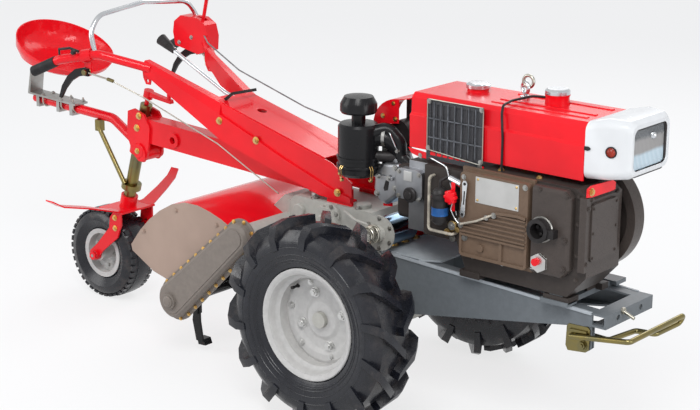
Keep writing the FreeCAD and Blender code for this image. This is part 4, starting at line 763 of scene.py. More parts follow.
def tread_tree():
    """Blocks round an axis along Y in several rows, each row turned by half a step against the last."""
    g = Grower("tread")
    count = g.given("Count", "NodeSocketInt", 40)
    radius = g.given("Radius", "NodeSocketFloat", 0.16)
    size = g.given("Block size", "NodeSocketVector", (0.01, 0.01, 0.01))
    place = g.given("Place", "NodeSocketVector", (0.0, 0.0, 0.0))
    phase = g.given("Phase", "NodeSocketFloat", 0.0)
    ring = g.node("GeometryNodeMeshCircle", sockets={"Vertices": count, "Radius": radius})
    upright = g.node("ShaderNodeCombineXYZ", sockets={"X": math.pi / 2.0, "Y": phase})
    standing = g.node("GeometryNodeTransform", sockets={"Geometry": ring.outputs[0],
                                                       "Rotation": upright.outputs[0]})
    spot = g.node("GeometryNodeInputPosition")
    aim = g.node("ShaderNodeVectorMath", {"operation": "NORMALIZE"}, {0: spot.outputs[0]})
    turn = g.node("FunctionNodeAlignRotationToVector", {"axis": "Z", "pivot_axis": "Y"},
                  {"Vector": aim.outputs[0]})
    block = g.node("GeometryNodeMeshCube", sockets={"Size": size})
    spread = g.node("GeometryNodeInstanceOnPoints", sockets={
        "Points": standing.outputs[0], "Instance": block.outputs["Mesh"], "Rotation": turn.outputs[0]})
    put = g.node("GeometryNodeTransform", sockets={"Geometry": spread.outputs[0], "Translation": place})
    return g.close(put.outputs[0])


TREES = {}


def spots_mesh(rows):
    """Points with a direction and a size; rows of (place, direction, size)."""
    mesh = bpy.data.meshes.new("spots")
    mesh.from_pydata([at(*place) for place, _, _ in rows], [], [])
    aim = mesh.attributes.new("aim", "FLOAT_VECTOR", "POINT")
    aim.data.foreach_set("vector", [c for _, way, _ in rows for c in Vector(way).normalized()])
    size = mesh.attributes.new("size", "FLOAT", "POINT")
    size.data.foreach_set("value", [scale for _, _, scale in rows])
    return mesh


def one_spot():
    """A single point, for the trees that place their own forms."""
    return spots_mesh([((0, 0, 0), UP, 1.0)])


def fasten(name, rows, finish="steel", body="frame", kind="bolt", **sizes):
    """Bolts or rivets on rows of (place, direction, size); sizes in millimetres."""
    values = {"Head radius": bpy.context.scene.tractor_sizes.bolt} if kind == "bolt" else {}
    values.update({key.replace("_", " ").capitalize(): value * MM for key, value in sizes.items()})
    return TREES[kind].grow(name, spots_mesh(rows), finish, body, values, smooth=30.0)


# Operators: one for each group

BODY_OF = {node: body for body, nodes in frame["record"]["behaviour"]["bodies"].items() for node in nodes}

# columns: node, finish, edge in millimetres or 0 for none, largest angle shaded smooth
DRESSING = [
    ("hood", "red", 2.5, 50), ("lamp_housing", "lamp", 3.0, 45), ("head_lamp", "lens", 0.6, 34),
    ("radiator_grille", "black", 0.6, 34), ("hood_fittings", "bright", 0.8, 34), ("engine_block", "block", 3.0, 34),
    ("gear_cover", "cover", 2.2, 40), ("start_housing", "case", 2.2, 34), ("cylinder_head", "block", 3.0, 34),
    ("flywheel", "case", 1.0, 34), ("air_cleaner", "black", 0.8, 34), ("silencer", "dark", 0.6, 34),
    ("fuel_filter", "dark", 0.6, 34), ("belt_guard", "red", 1.5, 34), ("front_stand", "gold", 0.8, 34),
    ("chassis_frame", "grey", 2.6, 34), ("gearbox", "cream", 4.0, 34), ("clutch_drum", "cream", 0.8, 30),
    ("right_drive_hub", "cream", 1.0, 34), ("left_drive_hub", "cream", 1.0, 34),
    ("right_drive_tyre", "right_tyre", 1.6, 34), ("left_drive_tyre", "left_tyre", 1.6, 34),
    ("handlebar", "red", 1.5, 34), ("handle_panel", "red", 1.2, 34), ("handle_grips", "grip", 1.0, 34),
    ("guard_rail", "bright", 0, 44),
    ("clutch_lever", "red", 0.5, 40), ("gear_lever", "bright", 0.5, 40), ("steering_levers", "black", 0.8, 34),
    ("tiller_gearcase", "cream", 2.5, 34), ("tiller_hood", "red", 1.0, 34), ("chain_case", "brown", 2.0, 34),
    ("rotor_shaft", "black", 0.8, 34), ("rotor_tines", "black", 0.8, 34), ("tail_beam", "red", 2.5, 34),
    ("tail_column", "gold", 0.6, 34), ("depth_crank", "red", 0.8, 40), ("tail_fork", "red", 1.5, 34),
    ("tail_rim", "wheel", 0.6, 34), ("tail_tyre", "tail_tyre", 0, 34), ("seat_tube", "red", 0.6, 44),
    ("seat_spring", "steel", 0.8, 34), ("seat_stay", "gold", 0, 44), ("seat_pan", "red", 1.2, 40),
]

# nodes that the wheels' operator stands for
REBUILT = {"right_drive_rim", "left_drive_rim"}


def grille_field(border):
    """Least and greatest X and Z inside the grille's border, in millimetres."""
    low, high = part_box("radiator_grille")
    return ((low[0] - AXLE_X) / MM + border, (high[0] - AXLE_X) / MM - border,
            low[2] / MM + border, high[2] / MM - border)


GRILLE = grille_field(13.0)

# second finishes: node, finish, rule on the place in millimetres
REGIONS = {
    "tiller_hood": [("taupe", lambda x, y, z: abs(y) > 295.5)],
    "cylinder_head": [("alloy", lambda x, y, z: y < -131.5 and x > 70)],
    "engine_block": [("case", lambda x, y, z: x > 719), ("grey", lambda x, y, z: z < 470)],
    "silencer": [("red", lambda x, y, z: z > 826 and (y < -42.5 or math.hypot(x / 98, (z - 829) / 91) > 0.94))],
    "start_housing": [("plate", lambda x, y, z: y < -175.5 and math.hypot(x - 607, z - 566) < 33),
                      ("red", lambda x, y, z: y < -184.2 and math.hypot(x - 602, z - 570) < 14),
                      ("dark", lambda x, y, z: y < -184 and x > 590 and z > 620)],
    "fuel_filter": [("pipe", lambda x, y, z: x < 235 or z < 600), ("red", lambda x, y, z: x > 288 and y < -180)],
    # the drum's barrel gets the blue painted reflection of the sky
    "clutch_drum": [("blue_painted_reflection", lambda x, y, z: y > -142)],
    "gear_lever": [("dark", lambda x, y, z: x < -998)],
    "steering_levers": [("zinc", lambda x, y, z: abs(y) < 256.5), ("red", lambda x, y, z: z > 900)],
    "radiator_grille": [("mesh", lambda x, y, z: GRILLE[0] < x < GRILLE[1] and GRILLE[2] < z < GRILLE[3])],
}


class TRACTOR_OT_finishes(bpy.types.Operator):
    """Makes the finishes and gives every node its own."""
    bl_idname = "tractor.finishes"
    bl_label = "Finishes"

    def execute(self, context):
        make_finishes(context.scene.tractor_paint)
        missing = set(frame["nodes"]) - {row[0] for row in DRESSING} - REBUILT
        if missing:
            raise RuntimeError("nodes with no finish: " + ", ".join(sorted(missing)))
        for node, finish, edge, smooth in DRESSING:
            dressed(node, finish, edge, REGIONS.get(node, ()), smooth)
        TREES.update(bolt=bolt_tree(), rivet=rivet_tree(), coil=coil_tree(), slat=slat_tree(), tread=tread_tree())
        return {"FINISHED"}


def ring_rows(x, z, y, way, pcd, count, size=1.0, start=0.0):
    """Rows for fasteners on a circle across the machine."""
    rows = []
    for i in range(count):
        t = math.radians(start + 360.0 * i / count)
        rows.append(((x + pcd / 2.0 * math.cos(t), y, z + pcd / 2.0 * math.sin(t)), way, size))
    return rows


def round_two(ax, az, ra, bx, bz, rb, count):
    """Places in X and Z, evenly spread on the line round two circles."""
    base = math.atan2(bz - az, bx - ax)
    lean = math.asin((ra - rb) / math.hypot(bx - ax, bz - az))
    corners = []
    for cx, cz, r, first, sweep in ((ax, az, ra, base + math.pi / 2.0 - lean, math.pi + 2.0 * lean),
                                    (bx, bz, rb, base - math.pi / 2.0 + lean, math.pi - 2.0 * lean)):
        corners += [Vector((cx + r * math.cos(first + sweep * i / 36.0), cz + r * math.sin(first + sweep * i / 36.0)))
                    for i in range(37)]
    lengths = [(b - a).length for a, b in zip(corners, corners[1:] + corners[:1])]
    step = sum(lengths) / count
    path, due, gone = [], 0.0, 0.0
    for i, length in enumerate(lengths):
        while due < gone + length - 1e-9 and len(path) < count:
            path.append(corners[i].lerp(corners[(i + 1) % len(corners)], (due - gone) / length))
            due += step
        gone += length
    return [(spot.x, spot.y) for spot in path]


class TRACTOR_OT_engine(bpy.types.Operator):
    """Adds the fastenings, the blank plate and the pipes of the engine."""
    bl_idname = "tractor.engine"
    bl_label = "Engine details"

    def execute(self, context):
        self.cover()
        self.fuel()
        self.head()
        self.feet()
        return {"FINISHED"}

    def cover(self):
        """Bolts, blank plate and claw of the gear cover."""
        face = COVER_Y
        rib = face - 7.0
        cover = [((457, rib, 676), NEAR, 0.9), ((432, rib, 665), NEAR, 0.8), ((349, -176, 588), NEAR, 1.1),
                 ((343, rib, 627), NEAR, 0.9), ((556, face, 773), NEAR, 0.9), ((346, face, 768), NEAR, 0.8),
                 ((470, -158, 529.5), NEAR, 0.7), ((366, -158, 529.5), NEAR, 0.7)]
        case = [((686, -172, 772), NEAR, 1.1), ((686, -176, 644), NEAR, 1.1), ((684, -175, 562), NEAR, 1.1),
                ((597, -176, 542), NEAR, 0.8), ((600, -175, 775), NEAR, 0.8)]
        lid = [((751, y, z), FORE, 0.55) for y in (-134, -18) for z in (598, 668, 738)]
        lid += [((746, y, z), FORE, 0.8) for y, z in ((-140, 764), (-6, 764), (-156, 584), (-156, 742))]
        flange = [((710, -148, z), NEAR, 0.8) for z in (530, 600, 690, 768)]
        head = [((x, -158, z), NEAR, 0.8) for x in (92, 166) for z in (662, 736)]
        top = [((x, y, 790), UP, 1.1) for x, y in ((430, -120), (560, -120), (470, -60))]
        fasten("cover_bolts", cover + head)
        fasten("case_bolts", case + lid + flange, "case")
        fasten("engine_top_bolts", top, "brass")
        Build().block(388, 536, face - 1.6, face + 0.4, 701, 777).piece("blank_plate", "plate", edge=0.5)
        rivets = [((x, face - 1.6, z), NEAR, 1.0) for x in (396, 528) for z in (709, 769)]
        fasten("plate_rivets", rivets, "brass", kind="rivet")
        # claw inside the crank's collar; it and the disc behind it are painted dark as the shade inside the collar's
        # opening
        claw = Build().disc((CRANK[0], -169.5, CRANK[1]), NEAR, 21.5, 3, 32)
        for spot, _, _ in ring_rows(*CRANK, -170, NEAR, 26.0, 3, start=30.0):
            claw.disc(spot, NEAR, 5.5, 14, 16, 1.0)
        claw.piece("crank_claw", "dark")
        lip = Build().lathe([(0, 33.5), (0, 38), (4, 38), (7, 36), (7, 33.5)], (CRANK[0], -176, CRANK[1]), NEAR, 40)
        lip.piece("collar_ring", "steel", smooth=30)

    def fuel(self):
        """Pump's end, pipes, filter and stop lever beside the cover."""
        pump = Build().tube([(300, -146, 612), (300, -172, 612)], 15, sides=20)
        pump.tube([(322, -146, 604), (322, -176, 604)], 8, sides=6)
        pump.tube([(276, -146, 586), (276, -164, 586)], 11, sides=18)
        pump.piece("pump_end", "brass", edge=1.0)
        unions = [((322, -158, 628), NEAR, 1.2), ((300, -172, 612), NEAR, 1.3), ((286, -148, 566), NEAR, 1.1)]
        fasten("pump_bolts", unions)
        rod = Build().tube([(318, -196, 690), (308, -192, 668), (322, -190, 644), (336, -190, 630)], 2.2, 14)
        rod.piece("stop_rod", "bright")
        line = Build().tube([(345, -193, 631), (400, -193, 650), (455, -193, 678)], 3.2, 20)
        line.piece("breather_line", "pipe")
        tap = Build().tube([(288, -166, 750), (334, -172, 741)], 12, sides=20)
        tap.tube([(300, -168, 748), (300, -168, 722)], 6, sides=12)
        tap.piece("tap_body", "bright", edge=1.0)
        band = Build().lathe([(0, 24.0), (0, 24.9), (24, 24.9), (24, 24.0)], (*FILTER, 640), UP, 32)
        band.piece("filter_band", "blue")
        dome = Build().lathe([(0, 0), (0, 23), (8, 21), (15, 14), (19, 6), (20, 0)], (*FILTER, 704), UP, 28)
        dome.tube([(*FILTER, 716), (*FILTER, 742), (276, -166, 752)], 5, 8)
        dome.piece("filter_dome", "dark")
        star = Build().disc((309, -188, 704), NEAR, 16, 15, 24, 2.0)
        for spot, _, _ in ring_rows(309, 704, -188, NEAR, 30.0, 8):
            star.disc(spot, NEAR, 6.5, 13, 12, 2.0)
        star.piece("star_knob", "red", smooth=50)
        lever = Build().slab([(348, 752), (352, 760), (362, 760), (366, 752), (361, 706), (359, 660), (353, 650),
                              (344, 653), (342, 662), (349, 706)], -193, -188)
        lever.piece("slotted_lever", "bright", edge=1.0)
        # dark discs and a slot on the lever: painted shade inside its holes
        holes = Build().disc((357, -193, 751), NEAR, 4.5, 0.8, 16).disc((351, -193, 660), NEAR, 4.5, 0.8, 16)
        holes.slab([(353, 690), (357, 690), (359, 730), (355, 730)], -193.6, -192.8)
        holes.piece("lever_slots_painted_shade", "dark")
        injector = Build().tube([(300, -150, 640), (292, -158, 700), (262, -152, 778), (196, -140, 790),
                                 (150, -110, 776)], 2.8, 26)
        injector.piece("injector_pipe", "bright")

    def head(self):
        """Rocker cover's plate, cap and the intake casting."""
        boss = Build().block(112, 142, -161, -157, 712, 742)
        boss.piece("rocker_plate", "plate", edge=1.2)
        cap = Build().disc((136, -157.5, 672), NEAR, 23, 9, 32, 3.0)
        cap.disc((136, -166, 672), NEAR, 12, 5, 24, 1.5)
        cap.piece("rocker_cap", "dark")
        port = Build().slab([(-40, 652), (-36, 706), (-4, 738), (58, 744), (58, 646), (10, 606), (-22, 614)], -116, -52)
        port.piece("intake_port", "alloy", edge=13.0, segments=4)
        collar = Build().lathe([(0, 0), (0, 34), (10, 34), (12, 31), (26, 29), (26, 0)], (28, -62, 740), UP, 36)
        collar.slab([(-30, 690), (-30, 700), (40, 700), (40, 690)], -122, -110)
        collar.piece("port_collar", "alloy", edge=0.8)
        # dark sheet on the port's face: painted shade inside a slot
        slot = Build().slab([(2, 660), (10, 686), (18, 686), (22, 682), (18, 656), (6, 652)], -117, -115)
        slot.piece("port_slot_painted_shade", "dark")
        ports = [((-24, -116, 640), NEAR, 1.0), ((44, -116, 666), NEAR, 1.0), ((44, -116, 728), NEAR, 1.0),
                 ((-16, -122, 695), NEAR, 0.9), ((24, -122, 695), NEAR, 0.9)]
        fasten("port_bolts", ports)

    def feet(self):
        """Feet with their bolts, and the red bracket at the front."""
        feet = Build()
        for x0, x1 in ((316, 386), (606, 690)):
            z = 462 - (x0 - 316) * 0.03
            feet.block(x0, x1, -152, -96, z - 2, z + 18)
            feet.block(x0, x1, 26, 60, z - 2, z + 18)
        feet.piece("engine_feet", "block", edge=2.0)
        fasten("foot_bolts", [((x, y, 478 - (x - 351) * 0.03), UP, 1.5) for x in (351, 648) for y in (-134, 42)])
        corners = [(-168, 776), (-166, 800), (-150, 806), (-36, 800), (-22, 792), (-22, 772), (-40, 770), (-140, 772)]
        red = Build().prism(*([(x, y, z) for y, z in corners] for x in (743.5, 747)))
        red.piece("front_bracket", "red", edge=0.8)
        fasten("bracket_bolt", [((747, -146, 788), FORE, 1.2)], "brass")


class TRACTOR_OT_hood(bpy.types.Operator):
    """Adds the grille's frame and wires, the lamp's parts and the fittings of the hood."""
    bl_idname = "tractor.hood"
    bl_label = "Hood details"

    def execute(self, context):
        y = GRILLE_Y
        corners = [(176, 818), (182, 812), (366, 796), (374, 802), (374, 954), (368, 962), (184, 962), (176, 954)]
        Build().hoop([(x, y, z) for x, z in corners], 1.9, 8).piece("grille_frame", "zinc")
        surround = Build().slab([(104, 806), (172, 800), (172, 808), (376, 792), (376, 782), (240, 781), (150, 782),
                                 (116, 790)], -131, -127)
        surround.piece("grille_skirt", "red", edge=1.0)
        rows = [((x, y - 1, z), NEAR, 0.8) for x, z in ((182, 956), (368, 956), (181, 818), (368, 804))]
        rows += [((150, -129, 789), NEAR, 1.0), ((364, -131, 789), NEAR, 0.9), ((430, -124.5, 950), NEAR, 0.45)]
        fasten("grille_bolts", rows, head_height=4.0)
        TREES["slat"].grow("grille_bars", one_spot(), "bars", "frame", {
            "Count": 7, "Bar size": (0.0026, 0.003, 0.146), "First": at(200, y + 0.5, 881), "Step": (0.0245, 0.0, 0.0)})
        TREES["slat"].grow("grille_rails", one_spot(), "bars", "frame", {
            "Count": 2, "Bar size": (0.192, 0.003, 0.003), "First": at(275, y + 0.5, 850), "Step": (0.0, 0.0, 0.056)})
        hose = Build().tube([(488, 26, 984), (440, 12, 984), (418, -60, 979), (424, -112, 975), (432, -128, 955),
                             (437, -131, 915), (438, -129, 880), (438, -130, 800), (440, -128, 788)], 3.6, 24,
                            sides=10)
        hose.piece("overflow_hose", "hose")
        x, y, z = LIFTING_EYE
        eye = [spot for spot, _, _ in ring_rows(x, z, y, NEAR, 34.0, 40)]
        Build().hoop(eye, 5.0, 12).piece("lifting_ring", "zinc")
        necks = Build().lathe([(0, 34.2), (0, 36), (12, 34.6), (24, 34.6), (28, 36.5), (31, 36.5), (31, 34.2)],
                              (512, 30, 967), UP, 36)
        necks.piece("neck_rings", "red")
        self.lamp()
        return {"FINISHED"}

    def lamp(self):
        """Signal lamp, latch slot, and the rim and the shade of the headlamp."""
        signal = Build().lathe([(0, 0), (0, 13), (4, 13), (5, 11), (9, 8), (11, 0)], SIGNAL_AT, SIGNAL_WAY, 28)
        signal.piece("signal_lamp", "amber")
        rim = Build().lathe([(0, 13), (0, 16.5), (4, 16), (5, 13)], SIGNAL_AT, SIGNAL_WAY, 28)
        rim.piece("signal_rim", "dark")
        # dark sheet at the hood's front: painted shade inside the latch's slot
        gap = Build().slab([(704, 895), (716, 894), (724, 898), (724, 902), (716, 906), (704, 905)], -126.5, -123.5)
        gap.piece("latch_slot", "dark", edge=0.8)
        low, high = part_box("head_lamp")
        z0, z1 = low[2] / MM, high[2] / MM
        y0, y1 = low[1] / MM, high[1] / MM
        front = (high[0] - AXLE_X) / MM
        r = 18
        path = []
        for cy, cz, a in ((y1 - r, z1 - r, 0), (y0 + r, z1 - r, 90), (y0 + r, z0 + r, 180), (y1 - r, z0 + r, 270)):
            for k in range(5):
                t = math.radians(a + 22.5 * k)
                path.append((front + 0.5, cy + (r - 2) * math.cos(t), cz + (r - 2) * math.sin(t)))
        Build().hoop(path, 2.8, 8).piece("lens_rim", "dark")
        bulb = Build().lathe([(0, 0), (0, 11), (5, 9), (9, 4), (10, 0)], (front + 0.2, 22, z1 - 30), FORE, 24)
        bulb.piece("bulb_shade", "bright")


class TRACTOR_OT_intake(bpy.types.Operator):
    """Adds the bands, the latches and the hose clamps of the air cleaner and the silencer."""
    bl_idname = "tractor.intake"
    bl_label = "Intake details"

    def execute(self, context):
        x, y = CLEANER
        r = CLEANER_R
        clamp = Build().lathe([(0, r + 0.3), (0, r + 3.2), (2, r + 4.2), (7, r + 4.2), (9, r + 3.2), (9, r + 0.3)],
                              (x, y, 716), UP, 56)
        clamp.piece("cleaner_band", "black")
        for i, way in enumerate((-100, -15, 190)):
            t = math.radians(way)
            c, s = math.cos(t), math.sin(t)
            latch = Build()
            for d in (-4, 4):
                px, py = x - s * d, y + c * d
                rows = [(px + c * (r + out), py + s * (r + out), z) for out, z in ((2, 727), (9, 717), (6, 692))]
                latch.tube(rows, 1.5, 5, sides=8)
            px, py = x + c * (r + 6), y + s * (r + 6)
            latch.tube([(px - s * d, py + c * d, 692) for d in (5, -5)], 1.5, sides=8)
            latch.disc((x + c * (r - 2), y + s * (r - 2), 684), (c, s, 0), 5, 9, 14, 1.0)
            latch.piece("latch_%d" % i, "brass")
        elbow = Build().tube([(-52, -112, 800), (-20, -98, 812), (14, -78, 790), (26, -62, 740), (26, -58, 706)],
                             26, 44, sides=28, steps=10)
        elbow.piece("intake_elbow", "black")
        stay = Build().tube([(-34, -112, 752), (8, -86, 752), (40, -70, 752)], 17, 20, sides=18)
        stay.tube([(-40, -104, 716), (20, -84, 716)], 12, sides=14)
        stay.block(-26, 44, -92, -84, 700, 786)
        stay.piece("cleaner_stay", "dark", edge=1.5)
        fasten("stay_bolts", [((x, -92, z), NEAR, 1.0) for x, z in ((-14, 776), (34, 776), (34, 712))])
        band = Build().tube([(-6, -94, 839), (14, -102, 824), (32, -100, 790), (40, -88, 756), (42, -84, 735)], 2.6,
                            16)
        band.piece("elbow_wire", "bright")
        clips = Build().lathe([(0, 27), (0, 29), (10, 29), (10, 27)], (-16, -97, 810), (0.9, 0.35, 0.0), 36)
        clips.piece("elbow_clamp", "steel")
        guard = [((-60, -46.5, 862), NEAR, 0.8), ((-20, -46.5, 905), NEAR, 0.7), ((-12, -46.5, 858), NEAR, 0.8)]
        fasten("guard_screws", guard, "brass")
        return {"FINISHED"}


class TRACTOR_OT_wheels(bpy.types.Operator):
    """Adds the nuts, the valves and the grooves of the wheels, and the tread of the tail wheel."""
    bl_idname = "tractor.wheels"
    bl_label = "Wheel details"

    def execute(self, context):
        for side, s in (("right", -1.0), ("left", 1.0)):
            self.rim(side, s)
            body = side + "_wheel"
            way = (0.0, s, 0.0)
            centre = (0.0, WHEEL_Z)
            nuts = ring_rows(*centre, s * (TRACK - 12.0), way, 165.0, 4, 1.7, 20.0)
            fasten(side + "_wheel_nuts", nuts, "plate", body, head_height=7.0)
            bolts = ring_rows(*centre, s * (TRACK - 2.0), way, 230.0, 6, 1.1, 50.0)
            fasten(side + "_rim_bolts", bolts, "plate", body)
            valve = Build().lathe([(0, 0), (0, 7), (6, 6), (8, 4), (22, 4), (23, 5), (31, 5), (31, 0)],
                                  (-88, s * (TRACK - 4.0), WHEEL_Z + 86), way, 16)
            valve.piece(side + "_valve", "dark", body)
            # columns: radius of a ring on the side wall, its distance inside the widest place
            wall = Build()
            for radius, inset in ((190, 12.6), (198, 9.6), (214, 3.6), (225, 2.2), (236, 1.4)):
                wall.lathe([(-1, radius - 2.6), (1.5, radius - 0.9), (1.5, radius + 0.9), (-1, radius + 2.6)],
                           (0, s * (TYRE_SIDE - inset), WHEEL_Z), way, 96)
            wall.piece(side + "_wall_rings", side + "_tyre", body, smooth=60)
        self.tail_tread()
        nuts = [((TAIL_AXLE[0], s * 86, TAIL_AXLE[1]), (0, s, 0), 1.6) for s in (-1, 1)]
        fasten("tail_axle_nuts", nuts, body="fork")
        discs = ring_rows(*TAIL_AXLE, -33, NEAR, 96.0, 5, 0.9) + ring_rows(*TAIL_AXLE, 33, FAR, 96.0, 5, 0.9)
        fasten("tail_rim_bolts", discs, body="tail_wheel")
        return {"FINISHED"}

    def rim(self, side, s):
        """Rolled flange, sloping wall and dished disc; along is the distance outwards from the wheel's middle."""
        outside = [(61.5, 170), (65, 169.6), (67, 167.4), (66.4, 164), (64, 159), (61.5, 155), (57, 150.6), (50, 148),
                   (40, 146.2), (34, 143), (29, 134)]
        bead = [(-28, 138.6), (28, 138.6), (34, 149.4), (60, 151.8), (60.8, 158)]
        inside = [(-along, radius) for along, radius in outside[::-1]]
        well = outside + inside + [(-60.8, 158), (-60, 151.8), (-34, 149.4)]
        disc = [(-4, 24.6), (-4, 50), (-5.5, 55), (-10.5, 62), (-12, 68), (-12, 92), (-10, 98), (-4, 104.5), (-2, 109),
                (-2, 121), (-0.4, 123.5), (-0.4, 126.5), (-2, 129), (-2.5, 135), (-8, 135), (-8, 108), (-18, 98),
                (-18, 60), (-10, 50), (-10, 24.6)]
        rim = Build()
        for outline in (well + bead, disc):
            rim.lathe(outline, (0, s * TRACK, WHEEL_Z), (0.0, s, 0.0), 96)
        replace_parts(rim.piece(side + "_rim_dressed", "wheel", side + "_wheel", smooth=38), side + "_drive_rim")

    def tail_tread(self):
        """Four rows of blocks round the tail tyre."""
        # columns: row's place across, turn in steps, length of a block across
        for k, (across, step, wide) in enumerate(((-42, 0.0, 20), (-17, 0.5, 19), (17, 0.0, 19), (42, 0.5, 20))):
            TREES["tread"].grow("tail_tread_%d" % k, one_spot(), "tail_tyre", "tail_wheel", {
                "Count": 38, "Radius": 0.1605 if abs(across) < 30 else 0.157, "Block size": (0.017, wide * MM, 0.008),
                "Place": at(TAIL_AXLE[0], across, TAIL_AXLE[1]), "Phase": step * 2.0 * math.pi / 38.0})


class TRACTOR_OT_handlebar(bpy.types.Operator):
    """Adds the rods, the cables, the clips and the bolts of the handlebar."""
    bl_idname = "tractor.handlebar"
    bl_label = "Handlebar details"

    def execute(self, context):
        arm = [((x, s * 92.0, z), (0, s, 0), 1.3) for s in (-1, 1)
               for x, z in ((-704, 755), (-542, 715), (-200, 604))]
        fasten("arm_bolts", arm, "brass")
        washers = Build()
        for (x, y, z), way, _ in arm[:2] + arm[3:5]:
            washers.disc((x, y - way[1], z), way, 12, 2.4, 24)
        washers.piece("arm_washers", "brass")
        fasten("gearbox_top_bolts", [((x, s * 84, 566), UP, 1.3) for x in (-300, -120) for s in (-1, 1)])
        gate = Build().tube([(-712, -54, 818), (-684, -50, 841), (-683, 58, 837)], 7.0, sides=4)
        gate.piece("gear_gate", "dark")
        # reach rods of the side clutches with their joints
        for side, s in (("right", -1), ("left", 1)):
            rod = Build().tube([(-1140, s * 262, 880), (-1074, s * 232, 862), (-1066, s * 230, 860)], 3.2)
            rod.tube([(-1066, s * 230, 860), (-966, s * 178, 808), (-700, s * 104, 680), (-440, s * 100, 560)], 2.2,
                     30)
            rod.piece("reach_rod_" + side, "zinc")
            joint = Build().tube([(-1078, s * 233, 863), (-1056, s * 228, 858)], 6.0, sides=12)
            for across, radius in ((272, 10), (252, 13)):
                joint.disc((-1146, s * across, 882), (0, s, 0), radius, 6, 20, 1.0)
            joint.piece("rod_joint_" + side, "gold")
        clip = Build().tube([(-1238, -300, 952), (-1196, -290, 960), (-1160, -282, 952)], 4.5, 10, sides=10)
        clip.tube([(-1236, -300, 952), (-1236, -300, 934)], 3.5, sides=10)
        clip.disc((-1170, -292, 950), NEAR, 8, 12, 16, 2.0)
        clip.piece("throttle_clip", "dark")
        fasten("guard_bolts", [((x, 196, z), NEAR, 0.8) for x, z in ((-1176, 916), (-1116, 940))])
        inner = Build().slab([(-1150, 925), (-1132, 980), (-1100, 994), (-1084, 980), (-1082, 925)], 203, 206)
        inner.piece("guard_quadrant", "red", edge=1.5)
        link = Build().tube([(-1093, 224, 916), (-1080, 222, 880), (-1064, 214, 846)], 3.2)
        link.disc((-1093, 216, 916), FAR, 8, 12, 16, 1.0)
        link.piece("clutch_link", "zinc")
        wire = Build().tube([(-1064, 214, 846), (-900, 172, 820), (-640, 112, 760), (-330, 104, 660), (-40, 112, 590)],
                            2.6, 60)
        wire.piece("clutch_rod", "bright")
        light = Build().tube([(-1110, 240, 962), (-990, 150, 942), (-800, 104, 880), (-500, 96, 800), (-330, 96, 770),
                              (-60, 92, 800), (40, 70, 820)], 2.4, 60)
        light.piece("lamp_cable", "cable")
        return {"FINISHED"}


class TRACTOR_OT_chassis(bpy.types.Operator):
    """Adds the gusset plate, the bolts, the brackets and the coil of the drive line."""
    bl_idname = "tractor.chassis"
    bl_label = "Chassis details"

    def execute(self, context):
        # the gusset plate's top is painted light grey as painted sky light that the engine's shadow keeps off
        corners = [(-2, -124), (2, -30), (18, 84), (104, 100), (180, 60), (206, 0), (206, -92), (160, -124)]
        plate = Build().prism(*([(x, y, z - x * 0.034) for x, y in corners] for z in (467.5, 474.5)))
        plate.piece("gusset_plate", "painted_light_grey", edge=1.2)
        # lighter strips along the rails' top edges: painted highlight of the flanges
        lips = Build()
        for s in (-1, 1):
            section = [(s * y, rise) for y, rise in ((120, -7), (128.5, -7), (128.5, 2.5), (120, 2.5))]
            lips.prism(*([(x, y, z + rise) for y, rise in section] for x, z in ((4, 467), (752, 438))))
        lips.piece("rail_lips_painted_highlight", "painted_light_grey", edge=1.2)
        fasten("gusset_bolts", [((12, y, 473.5), UP, 1.5) for y in (-72, -22, 30)], "brass")
        fasten("rail_bolts", [((44, s * 125.4, z), (0, s, 0), 1.2) for s in (-1, 1) for z in (420, 352, 300)])
        covers = Build().disc((-222, -96, 530), NEAR, 38, 9, 44, 2.5).disc((-222, -105, 530), NEAR, 16, 8, 28, 2.0)
        covers.disc((-352, -96, 520), NEAR, 22, 12, 32, 2.5)
        covers.disc((-120, -60, 562), UP, 24, 16, 32, 2.5)
        covers.piece("gearbox_covers", "cream")
        fasten("gearbox_bolts", ring_rows(-222, 530, -105, NEAR, 58.0, 6, 0.8, 15.0))
        cap = Build().disc((-316, -58, 562), UP, 16, 20, 28, 3.0).disc((-316, -58, 580), UP, 9, 8, 20, 1.5)
        cap.piece("filler_cap", "plate")
        TREES["coil"].grow("clutch_spring", one_spot(), "zinc", "frame", {
            "Turns": 5.0, "Coil radius": 0.025, "Length": 0.054, "Wire radius": 0.0032, "Place": at(6, -208, 528),
            "Direction": Vector(FAR)})
        arm = Build().slab([(-34, 470), (-22, 470), (-14, 540), (-24, 556), (-38, 548)], -152, -144)
        arm.tube([(-28, -162, 546), (-28, -140, 546)], 6, sides=14)
        arm.tube([(-28, -150, 546), (-90, -140, 548), (-150, -118, 560)], 4, 14)
        arm.piece("clutch_arm", "cream", edge=0.8)
        fasten("clutch_bolts", ring_rows(*CLUTCH, -150.5, NEAR, 92.0, 6, 0.7, 30.0))
        tab = Build().slab([(-18, 596), (-18, 640), (-2, 652), (14, 648), (16, 600)], -92, -88)
        tab.piece("cable_tab", "red", edge=0.6)
        fasten("tab_bolt", [((0, -92, 622), NEAR, 1.3)], "brass")
        eye = Build().tube([(798, -40, 434), (838, -40, 418)], 5.0, sides=12)
        eye.disc((798, -40, 434), FORE, 10, 8, 6)
        eye.piece("eye_bolt", "zinc", edge=0.6)
        bracket = Build().slab([(674, 384), (680, 392), (742, 394), (750, 386), (748, 326), (738, 318), (680, 312),
                                (672, 326)], -127.5, -121.5)
        bracket.slab([(686, 380), (742, 382), (742, 374), (686, 370)], -133, -127)
        bracket.piece("stand_plate", "gold", edge=1.0)
        fasten("stand_bolts", [((728, -127.5, 338), NEAR, 1.6)], "gold")
        packs = Build().block(600, 690, -158, -104, 446, 459).block(600, 690, 104, 158, 446, 459)
        packs.piece("packing_plates", "grey", edge=1.5)
        return {"FINISHED"}


